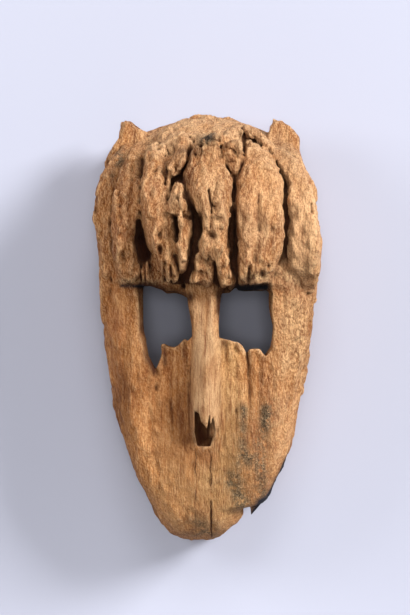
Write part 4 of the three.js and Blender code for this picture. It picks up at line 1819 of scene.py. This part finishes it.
@dataclass(frozen=True)
class SoftBox:
    """A studio light with a broad soft face."""

    place: Row
    side: float
    power: float
    aim: Row = (0.0, 0.02, 0.08)

    def set_up(self, name: str) -> None:
        """Hangs the light and turns it to its aim.

        Args:
            name: The light's name.
        """
        light = bpy.data.lights.new(name, "AREA")
        light.shape, light.size, light.energy = "SQUARE", self.side, self.power
        lamp = bpy.data.objects.new(name, light)
        lamp.location = self.place
        lamp.rotation_euler = (Vector(self.aim) - Vector(self.place)).to_track_quat("-Z", "Y").to_euler()
        bpy.context.scene.collection.objects.link(lamp)


@dataclass(frozen=True)
class Studio:
    """Pale floor, soft light and the camera that looks straight down on the mask."""

    floor_side: float = 8.0
    camera_place: Row = (-0.0026, 0.0189, 1.70)
    lens: float = 107.0
    glow: float = 0.12
    glow_tint: Row = (1.0, 0.95, 0.88, 1.0)
    lights: tuple[SoftBox, ...] = (
        SoftBox((2.4, 1.47, 1.75), 1.1, 186),
        SoftBox((-0.95, 0.4, 0.75), 0.5, 7.0),
        SoftBox((0.0, 1.5, 2.1), 0.9, 24),
        SoftBox((0.0, 0.02, 2.3), 0.5, 12),
        SoftBox((0.0, -0.48, 0.45), 0.3, 1.6, (0.0, -0.65, 0.0)),
    )

    def set_up(self) -> None:
        """Makes the floor, the lights, the glow of the room and the camera."""
        half = self.floor_side / 2
        sheet = bpy.data.meshes.new("floor")
        sheet.from_pydata([(-half, -half, 0), (half, -half, 0), (half, half, 0), (-half, half, 0)], [],
                          [(0, 1, 2, 3)])
        sheet.materials.append(Paper().material())
        floor = bpy.data.objects.new("floor", sheet)
        bpy.context.scene.collection.objects.link(floor)
        for number, light in enumerate(self.lights):
            light.set_up(f"soft_box_{number + 1}")
        room = bpy.data.worlds.new("room")
        room.use_nodes = True
        sky = room.node_tree.nodes["Background"]
        sky.inputs["Color"].default_value = self.glow_tint
        sky.inputs["Strength"].default_value = self.glow
        bpy.context.scene.world = room
        lens = bpy.data.cameras.new("camera")
        lens.lens = self.lens
        camera = bpy.data.objects.new("camera", lens)
        camera.location = self.camera_place
        bpy.context.scene.collection.objects.link(camera)
        bpy.context.scene.camera = camera
        bpy.context.scene.view_settings.view_transform = "Standard"


def main() -> None:
    """Builds the mask and the studio round it, and notes the sizes of the solid and of the mesh."""
    logging.basicConfig(level=logging.INFO, format="%(name)s: %(message)s")
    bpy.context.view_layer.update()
    Mask().build()
    Studio().set_up()
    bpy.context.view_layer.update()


if __name__ == "__main__":
    main()
